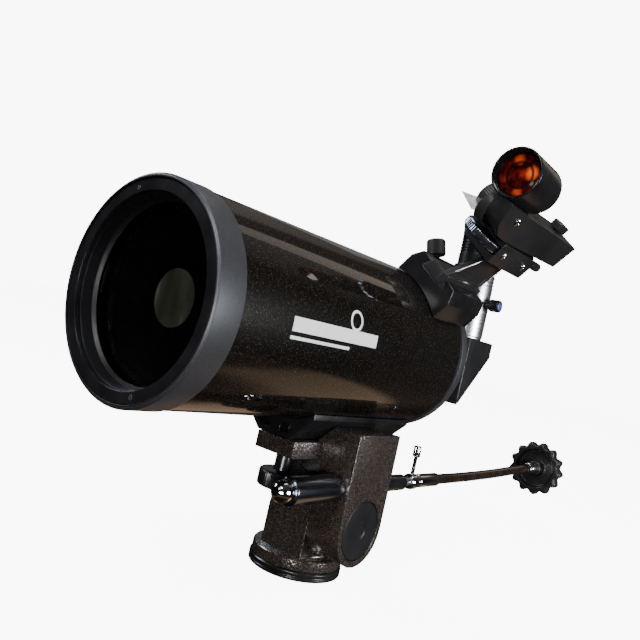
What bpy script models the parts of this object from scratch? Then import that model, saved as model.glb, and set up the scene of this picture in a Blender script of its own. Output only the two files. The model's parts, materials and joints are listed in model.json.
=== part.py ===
"""A small Maksutov telescope on the head of a slow-motion mount.

Every size and place below is in millimetres, measured from the centre of the
telescope's front rim: X to the side with the worm drive, Y towards the eyepiece
and Z up. spot() moves such a place to the part's own frame, whose origin is the
centre of the tripod seat, straight under the altitude axle.
"""
from math import asin, cos, pi, radians, sin, sqrt

import bmesh
import bpy
from mathutils import Matrix, Vector

MM = 0.001
SEAT_TO_RIM = Vector((0.0, -167.5, 150.0))
GAP = 0.3

# Telescope tube
TUBE_RADIUS = 53.9
TUBE_WALL = 1.5
CELL_RADIUS = 54.6
CELL_LENGTH = 16.5
TUBE_END = 227.0
TUBE_STEPS = 48
LENS_RADIUS = 44.9
LENS_CURVE = 120.0
LENS_THICKNESS = 8.0
SPOT_RADIUS = 15.0

# Focuser and visual back
FOCUS_X = -34.0
BACK_FACE = 235.0
BACK_BORE = 16.2
BACK_THUMB_Y = 252.0

# Star diagonal and eyepiece
EYEPIECE_Y = 327.0
HOUSING_HALF = 19.5
COVER_LINE = 338.1
EYE_THUMB_Z = 51.0

# Sight (red dot finder), in its own axes: along, across and up from the tube's axis
SIGHT_ANGLE = radians(40.3)
SIGHT_UP = Vector((sin(SIGHT_ANGLE), 0.0, cos(SIGHT_ANGLE)))
SIGHT_SIDE = Vector((cos(SIGHT_ANGLE), 0.0, -sin(SIGHT_ANGLE)))
SHOE_HALF = 22.0
SHOE_THUMB = (-24.3, 208.0, 72.5)
SHOE_THUMB_AXIS = (SIGHT_SIDE * -0.812 + SIGHT_UP * 0.583).normalized()
ARM_TOP = 95.2
BASE_BOTTOM = 95.5
BASE_TOP = 111.0
WHEEL_PLACE = (-3.0, 199.0, 103.9)
WHEEL_RADIUS = 15.3
WHEEL_HALF = 3.0
DRUM_ALONG = 184.0
DRUM_UP = 120.4
DIAL_PLACE = (0.0, 185.0, 123.6)
LENS_TUBE_UP = 145.0

# Foot, saddle and worm drive
AXLE_Y = 167.5
AXLE_Z = -113.0
FOOT_BOTTOM = -65.0
PLATE_TOP = -65.3
PLATE_BOTTOM = -75.0
PLATE_LEFT = -10.5
PAD_BOTTOM = -91.2
POST_NEAR = 19.5
POST_FAR = 43.3
POST_HALF = 22.5
WORM_X = 33.0
WORM_Z = -88.0
CLAMP_Y = 134.0
FOOT_SCREW_Y = (160.0, 205.0)

# Slow-motion cable and its knob
KNOB_X = 45.0
KNOB_Z = -80.0
KNOB_FRONT = 441.5
KNOB_LOBES = 13
CABLE_ROUTE = (
    (33.0, 272.3, -88.0), (33.1, 285.0, -88.0), (33.6, 305.0, -87.8), (34.8, 325.0, -87.2),
    (36.7, 345.0, -86.1), (39.0, 365.0, -84.7), (41.4, 385.0, -82.9), (43.5, 402.0, -81.3),
    (44.7, 415.0, -80.3), (45.0, 425.0, -80.0),
)

X_AXIS = Vector((1.0, 0.0, 0.0))
Y_AXIS = Vector((0.0, 1.0, 0.0))
Z_AXIS = Vector((0.0, 0.0, 1.0))


def spot(x, y, z):
    """Return a place, given in millimetres from the front rim, in the part's frame."""
    return (Vector((x, y, z)) + SEAT_TO_RIM) * MM


def sight_spot(side, along, up):
    """Return a place given across, along and up in the sight's own axes."""
    point = SIGHT_SIDE * side + Y_AXIS * along + SIGHT_UP * up
    return spot(point.x, point.y, point.z)


def clear_scene():
    for obj in list(bpy.data.objects):
        bpy.data.objects.remove(obj, do_unlink=True)


clear_scene()
PARTS = bpy.data.collections.new("maksutov_telescope")
CUTTERS = bpy.data.collections.new("cutters")
bpy.context.scene.collection.children.link(PARTS)
bpy.context.scene.collection.children.link(CUTTERS)


def finish(name, color, roughness, metallic):
    material = bpy.data.materials.new(name)
    material.use_nodes = True
    shader = material.node_tree.nodes["Principled BSDF"]
    shader.inputs["Base Color"].default_value = (*color, 1.0)
    shader.inputs["Roughness"].default_value = roughness
    shader.inputs["Metallic"].default_value = metallic
    return material


TUBE_PAINT = finish("tube_paint", (0.030, 0.022, 0.014), 0.18, 0.4)
CELL_PAINT = finish("cell_paint", (0.045, 0.047, 0.052), 0.45, 0.3)
BLACK_METAL = finish("black_metal", (0.012, 0.012, 0.014), 0.35, 0.4)
HAMMERTONE = finish("hammertone", (0.028, 0.020, 0.015), 0.30, 0.5)
BLACK_PLASTIC = finish("black_plastic", (0.014, 0.014, 0.015), 0.40, 0.0)
RUBBER = finish("black_rubber", (0.010, 0.010, 0.010), 0.75, 0.0)
CHROME = finish("chrome", (0.80, 0.80, 0.82), 0.10, 1.0)
SATIN_SILVER = finish("satin_silver", (0.62, 0.63, 0.65), 0.28, 1.0)
STEEL = finish("steel", (0.45, 0.45, 0.46), 0.35, 1.0)
BRASS = finish("brass", (0.60, 0.42, 0.16), 0.30, 1.0)
GLASS = finish("coated_glass", (0.03, 0.06, 0.05), 0.03, 0.0)
MIRROR = finish("mirror_coating", (0.85, 0.86, 0.88), 0.03, 1.0)
RED_GLASS = finish("red_coated_glass", (0.45, 0.05, 0.02), 0.05, 0.3)
FILM = finish("clear_film", (0.50, 0.48, 0.50), 0.25, 0.0)


def turning_to(direction):
    return direction.normalized().to_track_quat("Z", "Y")


def keep(obj, material):
    """File a finished piece with the parts and give it its material."""
    obj.data.materials.append(material)
    PARTS.objects.link(obj)
    return obj


def as_cutter(obj):
    obj.hide_render = True
    obj.display_type = "WIRE"
    CUTTERS.objects.link(obj)
    return obj


def turned(name, place, direction, profile, steps=20):
    """Spin (radius, height) pairs, listed down the outer side first, about an axis."""
    mesh = bpy.data.meshes.new(name)
    rows = [(radius * MM, 0.0, height * MM) for radius, height in profile]
    edges = [(i, i + 1) for i in range(len(rows) - 1)]
    if profile[0][0] > 0.0:
        edges.append((len(rows) - 1, 0))
    mesh.from_pydata(rows, edges, [])
    obj = bpy.data.objects.new(name, mesh)
    obj.location = place
    obj.rotation_mode = "QUATERNION"
    obj.rotation_quaternion = turning_to(direction)
    screw = obj.modifiers.new("Turn", "SCREW")
    screw.axis = "Z"
    screw.steps = steps
    screw.render_steps = steps
    screw.use_merge_vertices = True
    screw.merge_threshold = 0.00002
    screw.use_smooth_shade = True
    return obj


def rod(radius, top, bottom):
    return [(0.0, top), (radius, top), (radius, bottom), (0.0, bottom)]


def ring(outer, inner, top, bottom):
    return [(outer, top), (outer, bottom), (inner, bottom), (inner, top)]


def block(name, center, size, side=X_AXIS, up=Z_AXIS):
    """A box whose local X runs along side and local Z along up."""
    mesh = bpy.data.meshes.new(name)
    shape = bmesh.new()
    bmesh.ops.create_cube(shape, size=1.0)
    bmesh.ops.scale(shape, vec=Vector(size) * MM, verts=shape.verts)
    shape.to_mesh(mesh)
    shape.free()
    obj = bpy.data.objects.new(name, mesh)
    obj.matrix_world = axes_at(center, side, up.cross(side))
    return obj


def axes_at(origin, x_axis, y_axis):
    turn = Matrix((x_axis, y_axis, x_axis.cross(y_axis))).transposed()
    return Matrix.Translation(origin) @ turn.to_4x4()


def outline_solid(name, outline, thickness, origin, x_axis, y_axis):
    """Extrude a flat outline, centred on its own plane, and return it as a mesh."""
    curve = bpy.data.curves.new(name, "CURVE")
    curve.dimensions = "2D"
    curve.fill_mode = "BOTH"
    curve.extrude = thickness / 2 * MM
    spline = curve.splines.new("POLY")
    spline.points.add(len(outline) - 1)
    for point, (a, b) in zip(spline.points, outline):
        point.co = (a * MM, b * MM, 0.0, 1.0)
    spline.use_cyclic_u = True
    flat = bpy.data.objects.new(name + "_outline", curve)
    return curve_to_mesh(flat, name, axes_at(origin, x_axis, y_axis))


def curve_to_mesh(source, name, placing):
    bpy.context.scene.collection.objects.link(source)
    graph = bpy.context.evaluated_depsgraph_get()
    mesh = bpy.data.meshes.new_from_object(source.evaluated_get(graph))
    shape = bmesh.new()
    shape.from_mesh(mesh)
    bmesh.ops.remove_doubles(shape, verts=shape.verts, dist=0.00001)
    bmesh.ops.recalc_face_normals(shape, faces=shape.faces)
    shape.to_mesh(mesh)
    shape.free()
    obj = bpy.data.objects.new(name, mesh)
    obj.matrix_world = placing
    bpy.data.objects.remove(source, do_unlink=True)
    return obj


def combine(obj, other, operation):
    """Cut or join one piece with another, which becomes a guide."""
    as_cutter(other)
    boolean = obj.modifiers.new(operation.title(), "BOOLEAN")
    boolean.operation = operation
    boolean.solver = "EXACT"
    boolean.object = other
    return obj


def cut(obj, *cutters):
    for cutter in cutters:
        combine(obj, cutter, "DIFFERENCE")
    return obj


def join(obj, *others):
    for other in others:
        combine(obj, other, "UNION")
    return obj


def soften(obj, width, segments=1):
    bevel = obj.modifiers.new("Soften", "BEVEL")
    bevel.width = width * MM
    bevel.segments = segments
    bevel.limit_method = "ANGLE"
    bevel.angle_limit = radians(40)
    return obj


def arc(radius, start, end, count, center=(0.0, 0.0)):
    """Points on an arc; angles in degrees, from the first axis towards the second."""
    points = []
    for i in range(count):
        angle = radians(start + (end - start) * i / (count - 1))
        points.append((center[0] + radius * cos(angle), center[1] + radius * sin(angle)))
    return points


def hole(name, place, direction, radius, top, bottom, steps=16):
    return turned(name, place, direction, rod(radius, top, bottom), steps)


AXIS = spot(0.0, 0.0, 0.0)


# ---------------------------------------------------------------- telescope tube
def lens_face(radius, center_depth):
    """Depth of a face that is hollow towards the front."""
    return center_depth - radius * radius / (2 * LENS_CURVE)


def make_front_cell():
    spigot = TUBE_RADIUS - TUBE_WALL - GAP
    profile = [
        (spigot, 24.0), (spigot, CELL_LENGTH), (CELL_RADIUS, CELL_LENGTH), (CELL_RADIUS, 1.2),
        (53.4, 0.0), (52.3, 0.0), (52.3, 3.8), (46.0, 3.8), (45.2, 9.5), (43.8, 11.3),
        (43.8, 11.8), (45.2, 11.8), (45.2, 24.0),
    ]
    keep(turned("front_cell", AXIS, Y_AXIS, profile, TUBE_STEPS), CELL_PAINT)


def make_retaining_ring():
    plate = turned("retaining_ring", AXIS, Y_AXIS, ring(52.0, 46.3, 3.5, 0.8), TUBE_STEPS)
    tilt = radians(107)
    for i, angle in enumerate((tilt, tilt + pi)):
        place = spot(49.0 * cos(angle), 2.0, 49.0 * sin(angle))
        cut(plate, hole(f"spanner_hole_{i}", place, Y_AXIS, 1.1, 4.0, -4.0, 8))
    keep(plate, BLACK_METAL)


def make_corrector():
    front_center = 12.1 + LENS_RADIUS ** 2 / (2 * LENS_CURVE)
    back_center = front_center + LENS_THICKNESS
    radii = [0.0, 15.0, 30.0, LENS_RADIUS]
    profile = [(r, lens_face(r, back_center)) for r in radii]
    profile += [(r, lens_face(r, front_center)) for r in reversed(radii)]
    keep(turned("corrector_lens", AXIS, Y_AXIS, profile, 36), GLASS)
    lift = [(r, lens_face(r, back_center)) for r in (0.0, SPOT_RADIUS)]
    profile = [(r, y + 0.9) for r, y in lift] + [(r, y + GAP) for r, y in reversed(lift)]
    keep(turned("secondary_spot", AXIS, Y_AXIS, profile, 24), MIRROR)
    lock_inner = 42.5
    lock = ring(LENS_RADIUS, lock_inner, 23.6, lens_face(lock_inner, back_center) + GAP)
    keep(turned("corrector_lock_ring", AXIS, Y_AXIS, lock, 36), BLACK_METAL)


def make_optical_tube():
    inner = TUBE_RADIUS - TUBE_WALL
    wall = ring(TUBE_RADIUS, inner, TUBE_END, CELL_LENGTH + GAP)
    tube = turned("optical_tube", AXIS, Y_AXIS, wall, TUBE_STEPS)
    for i, y in enumerate(FOOT_SCREW_Y):
        cut(tube, hole(f"tube_hole_{i}", spot(0.0, y, 0.0), Z_AXIS, 2.3, -45.0, -60.0, 10))
    keep(tube, TUBE_PAINT)


def make_rear_cell():
    profile = [
        (53.6, BACK_FACE), (CELL_RADIUS, BACK_FACE - 1.0), (CELL_RADIUS, TUBE_END + GAP),
        (52.1, TUBE_END + GAP), (52.1, 219.0), (49.5, 219.0), (49.5, 229.5), (17.3, 229.5),
        (17.3, BACK_FACE),
    ]
    cell = turned("rear_cell", AXIS, Y_AXIS, profile, TUBE_STEPS)
    cut(cell, hole("shaft_hole", spot(FOCUS_X, 0.0, 0.0), Y_AXIS, 3.4, 240.0, 225.0))
    keep(cell, CELL_PAINT)


def make_baffle():
    profile = [
        (20.0, 229.2), (20.0, 226.4), (13.5, 226.4), (13.5, 118.0), (12.3, 118.0),
        (12.3, 229.2),
    ]
    keep(turned("baffle_tube", AXIS, Y_AXIS, profile, 24), BLACK_METAL)


def make_primary_mirror():
    front = [(48.0, 186.7), (32.0, 189.1), (16.4, 190.5)]
    profile = [(48.0, 203.7), *front, (16.4, 203.7)]
    keep(turned("primary_mirror", AXIS, Y_AXIS, profile, 36), MIRROR)
    sleeve = [
        (40.0, 207.0), (40.0, 204.0), (16.1, 204.0), (16.1, 184.0), (13.9, 184.0),
        (13.9, 207.0),
    ]
    carrier = turned("mirror_carrier", AXIS, Y_AXIS, sleeve, 30)
    nut = turned("focus_nut", spot(FOCUS_X, 0.0, 0.0), Y_AXIS, rod(6.0, 217.5, 205.0), 12)
    join(carrier, nut)
    cut(carrier, hole("nut_bore", spot(FOCUS_X, 0.0, 0.0), Y_AXIS, 3.3, 220.0, 207.0, 12))
    keep(carrier, STEEL)


def make_focuser():
    place = spot(FOCUS_X, 0.0, 0.0)
    keep(turned("focus_shaft", place, Y_AXIS, rod(3.0, 237.2, 212.0), 12), BRASS)
    knob = [(0.0, 251.5), (9.6, 251.5), (10.6, 250.4), (10.6, 238.5), (9.8, 237.5), (0.0, 237.5)]
    keep(turned("focus_knob", place, Y_AXIS, knob, 24), RUBBER)


def make_visual_back():
    profile = [
        (19.2, 262.0), (20.0, 261.2), (20.0, 240.0), (22.8, 239.2), (22.8, BACK_FACE + GAP),
        (BACK_BORE, BACK_FACE + GAP), (BACK_BORE, 262.0),
    ]
    back = turned("visual_back", AXIS, Y_AXIS, profile, 32)
    place = spot(0.0, BACK_THUMB_Y, 0.0)
    cut(back, hole("back_thumb_hole", place, Z_AXIS, 1.9, 24.0, 12.0, 10))
    keep(back, BLACK_METAL)
    keep(thumbscrew("visual_back_thumbscrew", place, Z_AXIS, 16.6, 21.5, 30.0, 4.5), CHROME)


def thumbscrew(name, place, direction, tip, seat, top, head):
    """A shank of radius 1.5 from tip to seat and a head from there to top."""
    profile = [
        (0.0, top), (head - 0.5, top), (head, top - 0.6), (head, seat), (1.5, seat),
        (1.5, tip), (0.0, tip),
    ]
    return turned(name, place, direction, profile, 12)


# ---------------------------------------------------------------- diagonal and eyepiece
def side_solid(name, outline, near, far):
    """A solid between two X planes from a (y, z) outline."""
    return outline_solid(name, outline, far - near, spot((near + far) / 2, 0, 0), Y_AXIS, Z_AXIS)


def make_diagonal():
    nose = [
        (20.0, 307.5), (20.0, 304.0), (15.8, 303.5), (15.8, 244.0), (14.2, 244.0),
        (14.2, 307.5),
    ]
    keep(turned("diagonal_nosepiece", AXIS, Y_AXIS, nose, 24), CHROME)

    top, back = 21.0, 351.5
    front = 308.0
    shell = side_solid("diagonal_housing", [
        (front, top), (front, front - COVER_LINE), (back, back - COVER_LINE), (back, top),
    ], -HOUSING_HALF, HOUSING_HALF)
    wall = 3.0
    deep = 12.0
    cavity = side_solid("diagonal_cavity", [
        (front + wall, top - wall), (front + wall, front + wall - COVER_LINE - deep),
        (back - wall + deep, back - wall - COVER_LINE), (back - wall, top - wall),
    ], wall - HOUSING_HALF, HOUSING_HALF - wall)
    cut(
        shell, cavity,
        hole("nose_port", AXIS, Y_AXIS, 14.2, 315.0, 300.0),
        hole("eye_port", spot(0.0, EYEPIECE_Y, 0.0), Z_AXIS, 14.2, 30.0, 12.0),
    )
    keep(shell, BLACK_PLASTIC)

    step = GAP * sqrt(2)
    outer = COVER_LINE + 4.4
    cover = side_solid("diagonal_cover", [
        (front, front - COVER_LINE - step), (front, front - outer + 1.0),
        (front + 3.0, front + 3.0 - outer), (back, back - outer), (back, back - COVER_LINE - step),
    ], -HOUSING_HALF, HOUSING_HALF)
    keep(cover, BLACK_PLASTIC)

    mirror_back = EYEPIECE_Y + 8.0
    flat = side_solid("diagonal_mirror", [
        (313.5, 313.5 - EYEPIECE_Y), (313.5, 313.5 - mirror_back),
        (343.5, 343.5 - mirror_back), (343.5, 343.5 - EYEPIECE_Y),
    ], -15.0, 15.0)
    keep(flat, MIRROR)


def make_eyepiece_holder():
    place = spot(0.0, EYEPIECE_Y, 0.0)
    profile = [
        (17.6, 75.0), (18.0, 74.6), (18.0, 72.0), (17.3, 71.4), (18.0, 70.8), (18.0, 68.6),
        (17.3, 68.0), (18.0, 67.4), (18.0, 21.3), (BACK_BORE, 21.3), (BACK_BORE, 75.0),
    ]
    holder = turned("eyepiece_holder", place, Z_AXIS, profile, 28)
    thumb_place = spot(0.0, EYEPIECE_Y, EYE_THUMB_Z)
    cut(holder, hole("eye_thumb_hole", thumb_place, X_AXIS, 1.9, 22.0, 12.0, 10))
    keep(holder, SATIN_SILVER)
    screw = thumbscrew("eyepiece_thumbscrew", thumb_place, X_AXIS, 16.5, 20.8, 29.3, 5.0)
    keep(screw, BLACK_METAL)


def make_eyepiece():
    place = spot(0.0, EYEPIECE_Y, 0.0)
    keep(turned("eyepiece_barrel", place, Z_AXIS, ring(15.8, 14.3, 75.0, 47.0), 24), CHROME)
    body = [
        (12.4, 110.0), (12.4, 106.4), (15.0, 105.8), (15.0, 80.5), (17.0, 79.5), (17.0, 75.4),
        (10.5, 75.4), (10.5, 110.0),
    ]
    keep(turned("eyepiece_body", place, Z_AXIS, body, 24), BLACK_METAL)
    cup = [
        (15.2, 116.0), (16.2, 115.0), (15.3, 106.7), (12.8, 106.7), (12.8, 110.6),
        (13.2, 116.0),
    ]
    keep(turned("eyecup", place, Z_AXIS, cup, 24), RUBBER)
    keep(turned("eye_lens", place, Z_AXIS, rod(10.2, 108.0, 102.0), 20), GLASS)
    keep(turned("field_lens", place, Z_AXIS, rod(10.2, 84.0, 79.0), 20), GLASS)


# ---------------------------------------------------------------- shoe and sight
def section_solid(name, outline, start, end):
    """A solid along the tube between two Y planes, from a (side, up) outline."""
    place = spot(0.0, (start + end) / 2, 0.0)
    return outline_solid(name, outline, end - start, place, SIGHT_SIDE, SIGHT_UP)


def flank_solid(name, outline, near, far):
    """A solid across the sight between two sides, from an (along, up) outline."""
    place = sight_spot((near + far) / 2, 0.0, 0.0)
    return outline_solid(name, outline, far - near, place, Y_AXIS, SIGHT_UP)


def make_shoe():
    seat = TUBE_RADIUS + GAP
    edge = asin(SHOE_HALF / seat) * 180 / pi
    outline = [
        (SHOE_HALF, 62.6), (17.6, 70.6), (8.9, 70.6), (11.8, 64.0), (-11.8, 64.0),
        (-8.9, 70.6), (-17.6, 70.6), (-SHOE_HALF, 62.6),
    ]
    outline += arc(seat, 90 + edge, 90 - edge, 9)
    shoe = section_solid("finder_shoe", outline, 187.0, 232.0)
    place = sight_spot(*SHOE_THUMB)
    cut(
        shoe,
        hole("shoe_thumb_hole", place, SHOE_THUMB_AXIS, 2.3, 0.0, -14.2, 10),
        hole("cell_relief", AXIS, Y_AXIS, CELL_RADIUS + GAP, 240.0, TUBE_END - GAP, TUBE_STEPS),
    )
    keep(shoe, BLACK_METAL)
    profile = [
        (0.0, 5.7), (5.7, 5.7), (6.35, 5.0), (6.35, -4.6), (4.2, -5.4), (2.0, -5.4),
        (2.0, -13.6), (0.0, -13.6),
    ]
    keep(turned("shoe_thumbscrew", place, SHOE_THUMB_AXIS, profile, 16), BLACK_PLASTIC)


def make_sight_arm():
    web = flank_solid("finder_arm", [
        (186.0, 66.0), (230.5, 66.0), (234.5, ARM_TOP), (207.0, ARM_TOP), (185.5, 73.0),
    ], 3.6, 7.2)
    recess = flank_solid("arm_recess", [
        (191.0, 75.6), (229.5, 75.6), (231.7, 91.6), (206.6, 91.6),
    ], 6.2, 8.0)
    pad = flank_solid("arm_pad", [
        (209.0, 92.4), (233.5, 92.4), (234.5, ARM_TOP), (207.0, ARM_TOP),
    ], -9.0, 7.2)
    foot = section_solid("finder_dovetail", [
        (-11.3, 64.3), (11.3, 64.3), (8.5, 70.7), (8.5, 73.0), (-8.5, 73.0), (-8.5, 70.7),
    ], 187.0, 235.0)
    keep(cut(join(web, foot, pad), recess), BLACK_PLASTIC)


def make_sight_base():
    base = flank_solid("finder_base_block", [
        (196.5, BASE_BOTTOM), (248.5, BASE_BOTTOM), (248.5, BASE_TOP), (196.5, BASE_TOP),
    ], -13.5, 13.5)
    wheel_spot = sight_spot(*WHEEL_PLACE)
    room = WHEEL_HALF + 0.5
    cut(base, hole("wheel_slot", wheel_spot, SIGHT_UP, WHEEL_RADIUS + 0.4, room, -room, 28))
    keep(base, BLACK_PLASTIC)
    edge = WHEEL_RADIUS - 0.7
    flank = WHEEL_HALF - 0.7
    profile = [
        (0.0, WHEEL_HALF), (edge, WHEEL_HALF), (WHEEL_RADIUS, flank), (WHEEL_RADIUS, -flank),
        (edge, -WHEEL_HALF), (0.0, -WHEEL_HALF),
    ]
    keep(turned("azimuth_wheel", wheel_spot, SIGHT_UP, profile, 28), BLACK_METAL)


def make_sight_body():
    body = flank_solid("finder_body", [
        (165.0, 131.5), (168.8, 121.4), (171.4, 117.5), (180.0, 112.5), (192.0, 111.6),
        (274.5, 114.7), (275.5, 133.6),
    ], -13.0, 13.0)
    corner = block("drum_corner", sight_spot(-10.0, DRUM_ALONG - 5.0, 120.0), (20.0, 36.6, 40.0),
                   SIGHT_SIDE, SIGHT_UP)
    cradle = hole("tube_cradle", sight_spot(0.0, 0.0, LENS_TUBE_UP), Y_AXIS, 15.3, 196.5, 150.0, 32)
    cut(body, corner, cradle)
    keep(body, BLACK_PLASTIC)

    drum = sight_spot(0.0, DRUM_ALONG, DRUM_UP)
    housing = [(0.0, -7.0), (10.5, -7.0), (10.5, -0.3), (11.9, -0.3), (11.9, -8.0), (0.0, -8.0)]
    cup = turned("battery_housing", drum, SIGHT_SIDE, housing, 24)
    room = hole("drum_cradle", sight_spot(0.0, 0.0, LENS_TUBE_UP), Y_AXIS, 15.3, 196.5, 150.0, 32)
    keep(cut(cup, room), BLACK_PLASTIC)
    keep(turned("coin_cell", drum, SIGHT_SIDE, rod(10.0, -3.0, -6.2), 20), STEEL)
    dial = [(0.0, -8.9), (8.4, -8.9), (9.0, -9.5), (9.0, -14.9), (8.4, -15.5), (0.0, -15.5)]
    keep(turned("brightness_dial", sight_spot(*DIAL_PLACE), SIGHT_SIDE, dial, 24), BLACK_PLASTIC)
    tab = flank_solid("battery_pull_tab", [
        (150.0, 117.3), (173.5, 111.5), (184.0, 115.0), (184.0, 120.0), (169.0, 120.0),
    ], -8.6, -8.3)
    keep(tab, FILM)
    knob = rod(5.5, 110.5, 104.5)
    keep(turned("altitude_knob", sight_spot(0.0, 258.5, 0.0), SIGHT_UP, knob, 16), BLACK_METAL)
    led = block("led_housing", sight_spot(0.0, 258.5, 136.7), (8.0, 13.0, 5.6), SIGHT_SIDE, SIGHT_UP)
    keep(soften(led, 0.6), BLACK_PLASTIC)


def make_sight_tube():
    place = sight_spot(0.0, 0.0, LENS_TUBE_UP)
    profile = [
        (14.7, 195.5), (15.0, 195.2), (15.0, 162.4), (14.6, 162.0), (13.4, 162.0),
        (13.4, 195.5),
    ]
    keep(turned("finder_lens_tube", place, Y_AXIS, profile, 32), BLACK_METAL)
    lens = [(0.0, 171.0), (13.1, 170.0), (13.1, 167.0), (0.0, 168.0)]
    keep(turned("finder_lens", place, Y_AXIS, lens, 28), RED_GLASS)


# ---------------------------------------------------------------- foot and saddle
def frontal_solid(name, outline, start, end):
    """A solid between two Y planes from an (x, z) outline."""
    place = spot(0.0, (start + end) / 2, 0.0)
    return outline_solid(name, outline, end - start, place, X_AXIS, Z_AXIS)


def make_foot():
    seat = TUBE_RADIUS + GAP
    half, flank_top = 27.5, -50.0
    edge = asin(half / seat) * 180 / pi
    outline = [(half, flank_top), (12.3, FOOT_BOTTOM), (-12.3, FOOT_BOTTOM), (-half, flank_top)]
    outline += arc(seat, -90 - edge, -90 + edge, 11)
    foot = frontal_solid("mounting_foot", outline, 118.0, 223.0)
    for i, side in enumerate((1.0, -1.0)):
        pocket = frontal_solid(f"foot_pocket_{i}", [
            (4.0 * side, -61.8), (10.9 * side, -61.8), (19.6 * side, -53.1), (4.0 * side, -56.8),
        ], 117.0, 127.0)
        cut(foot, pocket)
    cut(foot, hole("clamp_thread", spot(0.0, CLAMP_Y, 0.0), Z_AXIS, 3.4, -57.2, -70.0, 12))
    for i, y in enumerate(FOOT_SCREW_Y):
        place = spot(0.0, y, 0.0)
        well = [(0.0, -45.0), (2.3, -45.0), (2.3, -59.9), (4.6, -59.9), (4.6, -70.0), (0.0, -70.0)]
        cut(foot, turned(f"screw_well_{i}", place, Z_AXIS, well, 12))
        shape = [(0.0, -49.0), (2.0, -49.0), (2.0, -60.3), (4.2, -60.3), (4.2, -64.0), (0.0, -64.0)]
        keep(turned(f"foot_screw_{i + 1}", place, Z_AXIS, shape, 12), STEEL)
    keep(foot, BLACK_METAL)


def make_saddle():
    middle_y = AXLE_Y
    post_outline = [(middle_y - POST_HALF, -54.0)]
    post_outline += arc(POST_HALF, 180, 360, 13, (middle_y, AXLE_Z))
    post_outline.append((middle_y + POST_HALF, -54.0))
    post = side_solid("saddle_casting", post_outline, POST_NEAR, POST_FAR)
    plate = frontal_solid("saddle_plate", [
        (PLATE_LEFT, PLATE_TOP), (PLATE_LEFT, PLATE_BOTTOM), (18.5, PLATE_BOTTOM), (18.5, PLATE_TOP),
    ], 117.0, 190.0)
    jaw = frontal_solid("saddle_jaw", [
        (13.4, PLATE_BOTTOM), (13.4, PLATE_TOP), (24.9, -54.0), (27.0, -54.0), (27.0, PLATE_BOTTOM),
    ], middle_y - POST_HALF, middle_y + POST_HALF)
    pad = frontal_solid("saddle_pad", [
        (PLATE_LEFT, PLATE_BOTTOM + 1.0), (PLATE_LEFT, PAD_BOTTOM), (22.0, PAD_BOTTOM),
        (22.0, PLATE_BOTTOM + 1.0),
    ], 150.0, 189.0)
    relief = frontal_solid("jaw_relief", [
        (12.9, PLATE_TOP), (24.8, -53.6), (10.0, -53.6),
    ], middle_y - POST_HALF - 1.0, middle_y + POST_HALF + 1.0)
    axle_place = spot(0.0, AXLE_Y, AXLE_Z)
    worm_place = spot(WORM_X, AXLE_Y, WORM_Z)
    join(post, plate, jaw, pad)
    cut(
        post, relief,
        hole("wheel_chamber", axle_place, X_AXIS, 18.7, POST_FAR + 1.0, 25.5, 32),
        hole("axle_bore", axle_place, X_AXIS, 5.3, 30.0, 15.0),
        hole("worm_bore", worm_place, Y_AXIS, 7.0, 30.0, -30.0),
        hole("clamp_bore", spot(0.0, CLAMP_Y, 0.0), Z_AXIS, 3.4, -60.0, -80.0, 12),
    )
    keep(post, HAMMERTONE)
    cover = [(0.0, 43.1), (17.6, 43.1), (18.4, 42.3), (18.4, 40.3), (0.0, 40.3)]
    keep(turned("wheel_cover", axle_place, X_AXIS, cover, 28), BLACK_PLASTIC)


def make_clamp_knob():
    profile = [
        (0.0, -58.0), (3.0, -58.0), (3.0, -75.3), (5.2, -75.3), (5.2, -87.0), (12.6, -87.4),
        (13.5, -88.3), (13.5, -96.7), (12.6, -97.5), (0.0, -97.5),
    ]
    keep(turned("clamp_knob", spot(0.0, CLAMP_Y, 0.0), Z_AXIS, profile, 24), BLACK_METAL)


def make_worm_drive():
    place = spot(WORM_X, 0.0, WORM_Z)
    cap = [(0.0, 100.0), (6.2, 100.0), (6.2, 96.5), (4.6, 92.9), (2.4, 91.1), (0.0, 91.0)]
    keep(turned("shaft_end_cap", place, Y_AXIS, cap, 16), CHROME)
    housing = [(7.2, 144.7), (8.0, 144.0), (8.0, 101.2), (7.2, 100.3), (4.4, 100.3), (4.4, 144.7)]
    keep(turned("worm_housing", place, Y_AXIS, housing, 20), BLACK_METAL)
    shaft = [
        (0.0, 239.7), (3.0, 239.7), (3.0, 216.0), (4.0, 215.0), (4.0, 179.5), (6.4, 179.0),
        (6.4, 156.0), (4.0, 155.5), (4.0, 100.3), (0.0, 100.3),
    ]
    keep(turned("worm_shaft", place, Y_AXIS, shaft, 16), STEEL)
    bush = [(5.3, 222.0), (5.3, 190.3), (4.4, 190.3), (4.4, 222.0)]
    keep(turned("worm_bush", place, Y_AXIS, bush, 16), BLACK_METAL)
    collar = turned("cable_collar", place, Y_AXIS, [
        (4.6, 239.7), (5.4, 238.8), (5.4, 232.6), (4.6, 231.7), (3.3, 231.7), (3.3, 239.7),
    ], 16)
    screw_place = spot(WORM_X, 235.7, WORM_Z)
    cut(collar, hole("collar_thread", screw_place, Z_AXIS, 1.6, 8.0, 2.0, 10))
    keep(collar, CHROME)
    screw = [
        (0.0, 25.0), (2.3, 25.0), (2.75, 24.4), (2.75, 18.0), (2.3, 17.4), (1.3, 17.0),
        (1.3, 3.4), (0.0, 3.4),
    ]
    keep(turned("collar_thumbscrew", screw_place, Z_AXIS, screw, 12), CHROME)
    keep(turned("cable_ferrule", place, Y_AXIS, rod(4.75, 272.0, 240.0), 16), CHROME)


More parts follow.
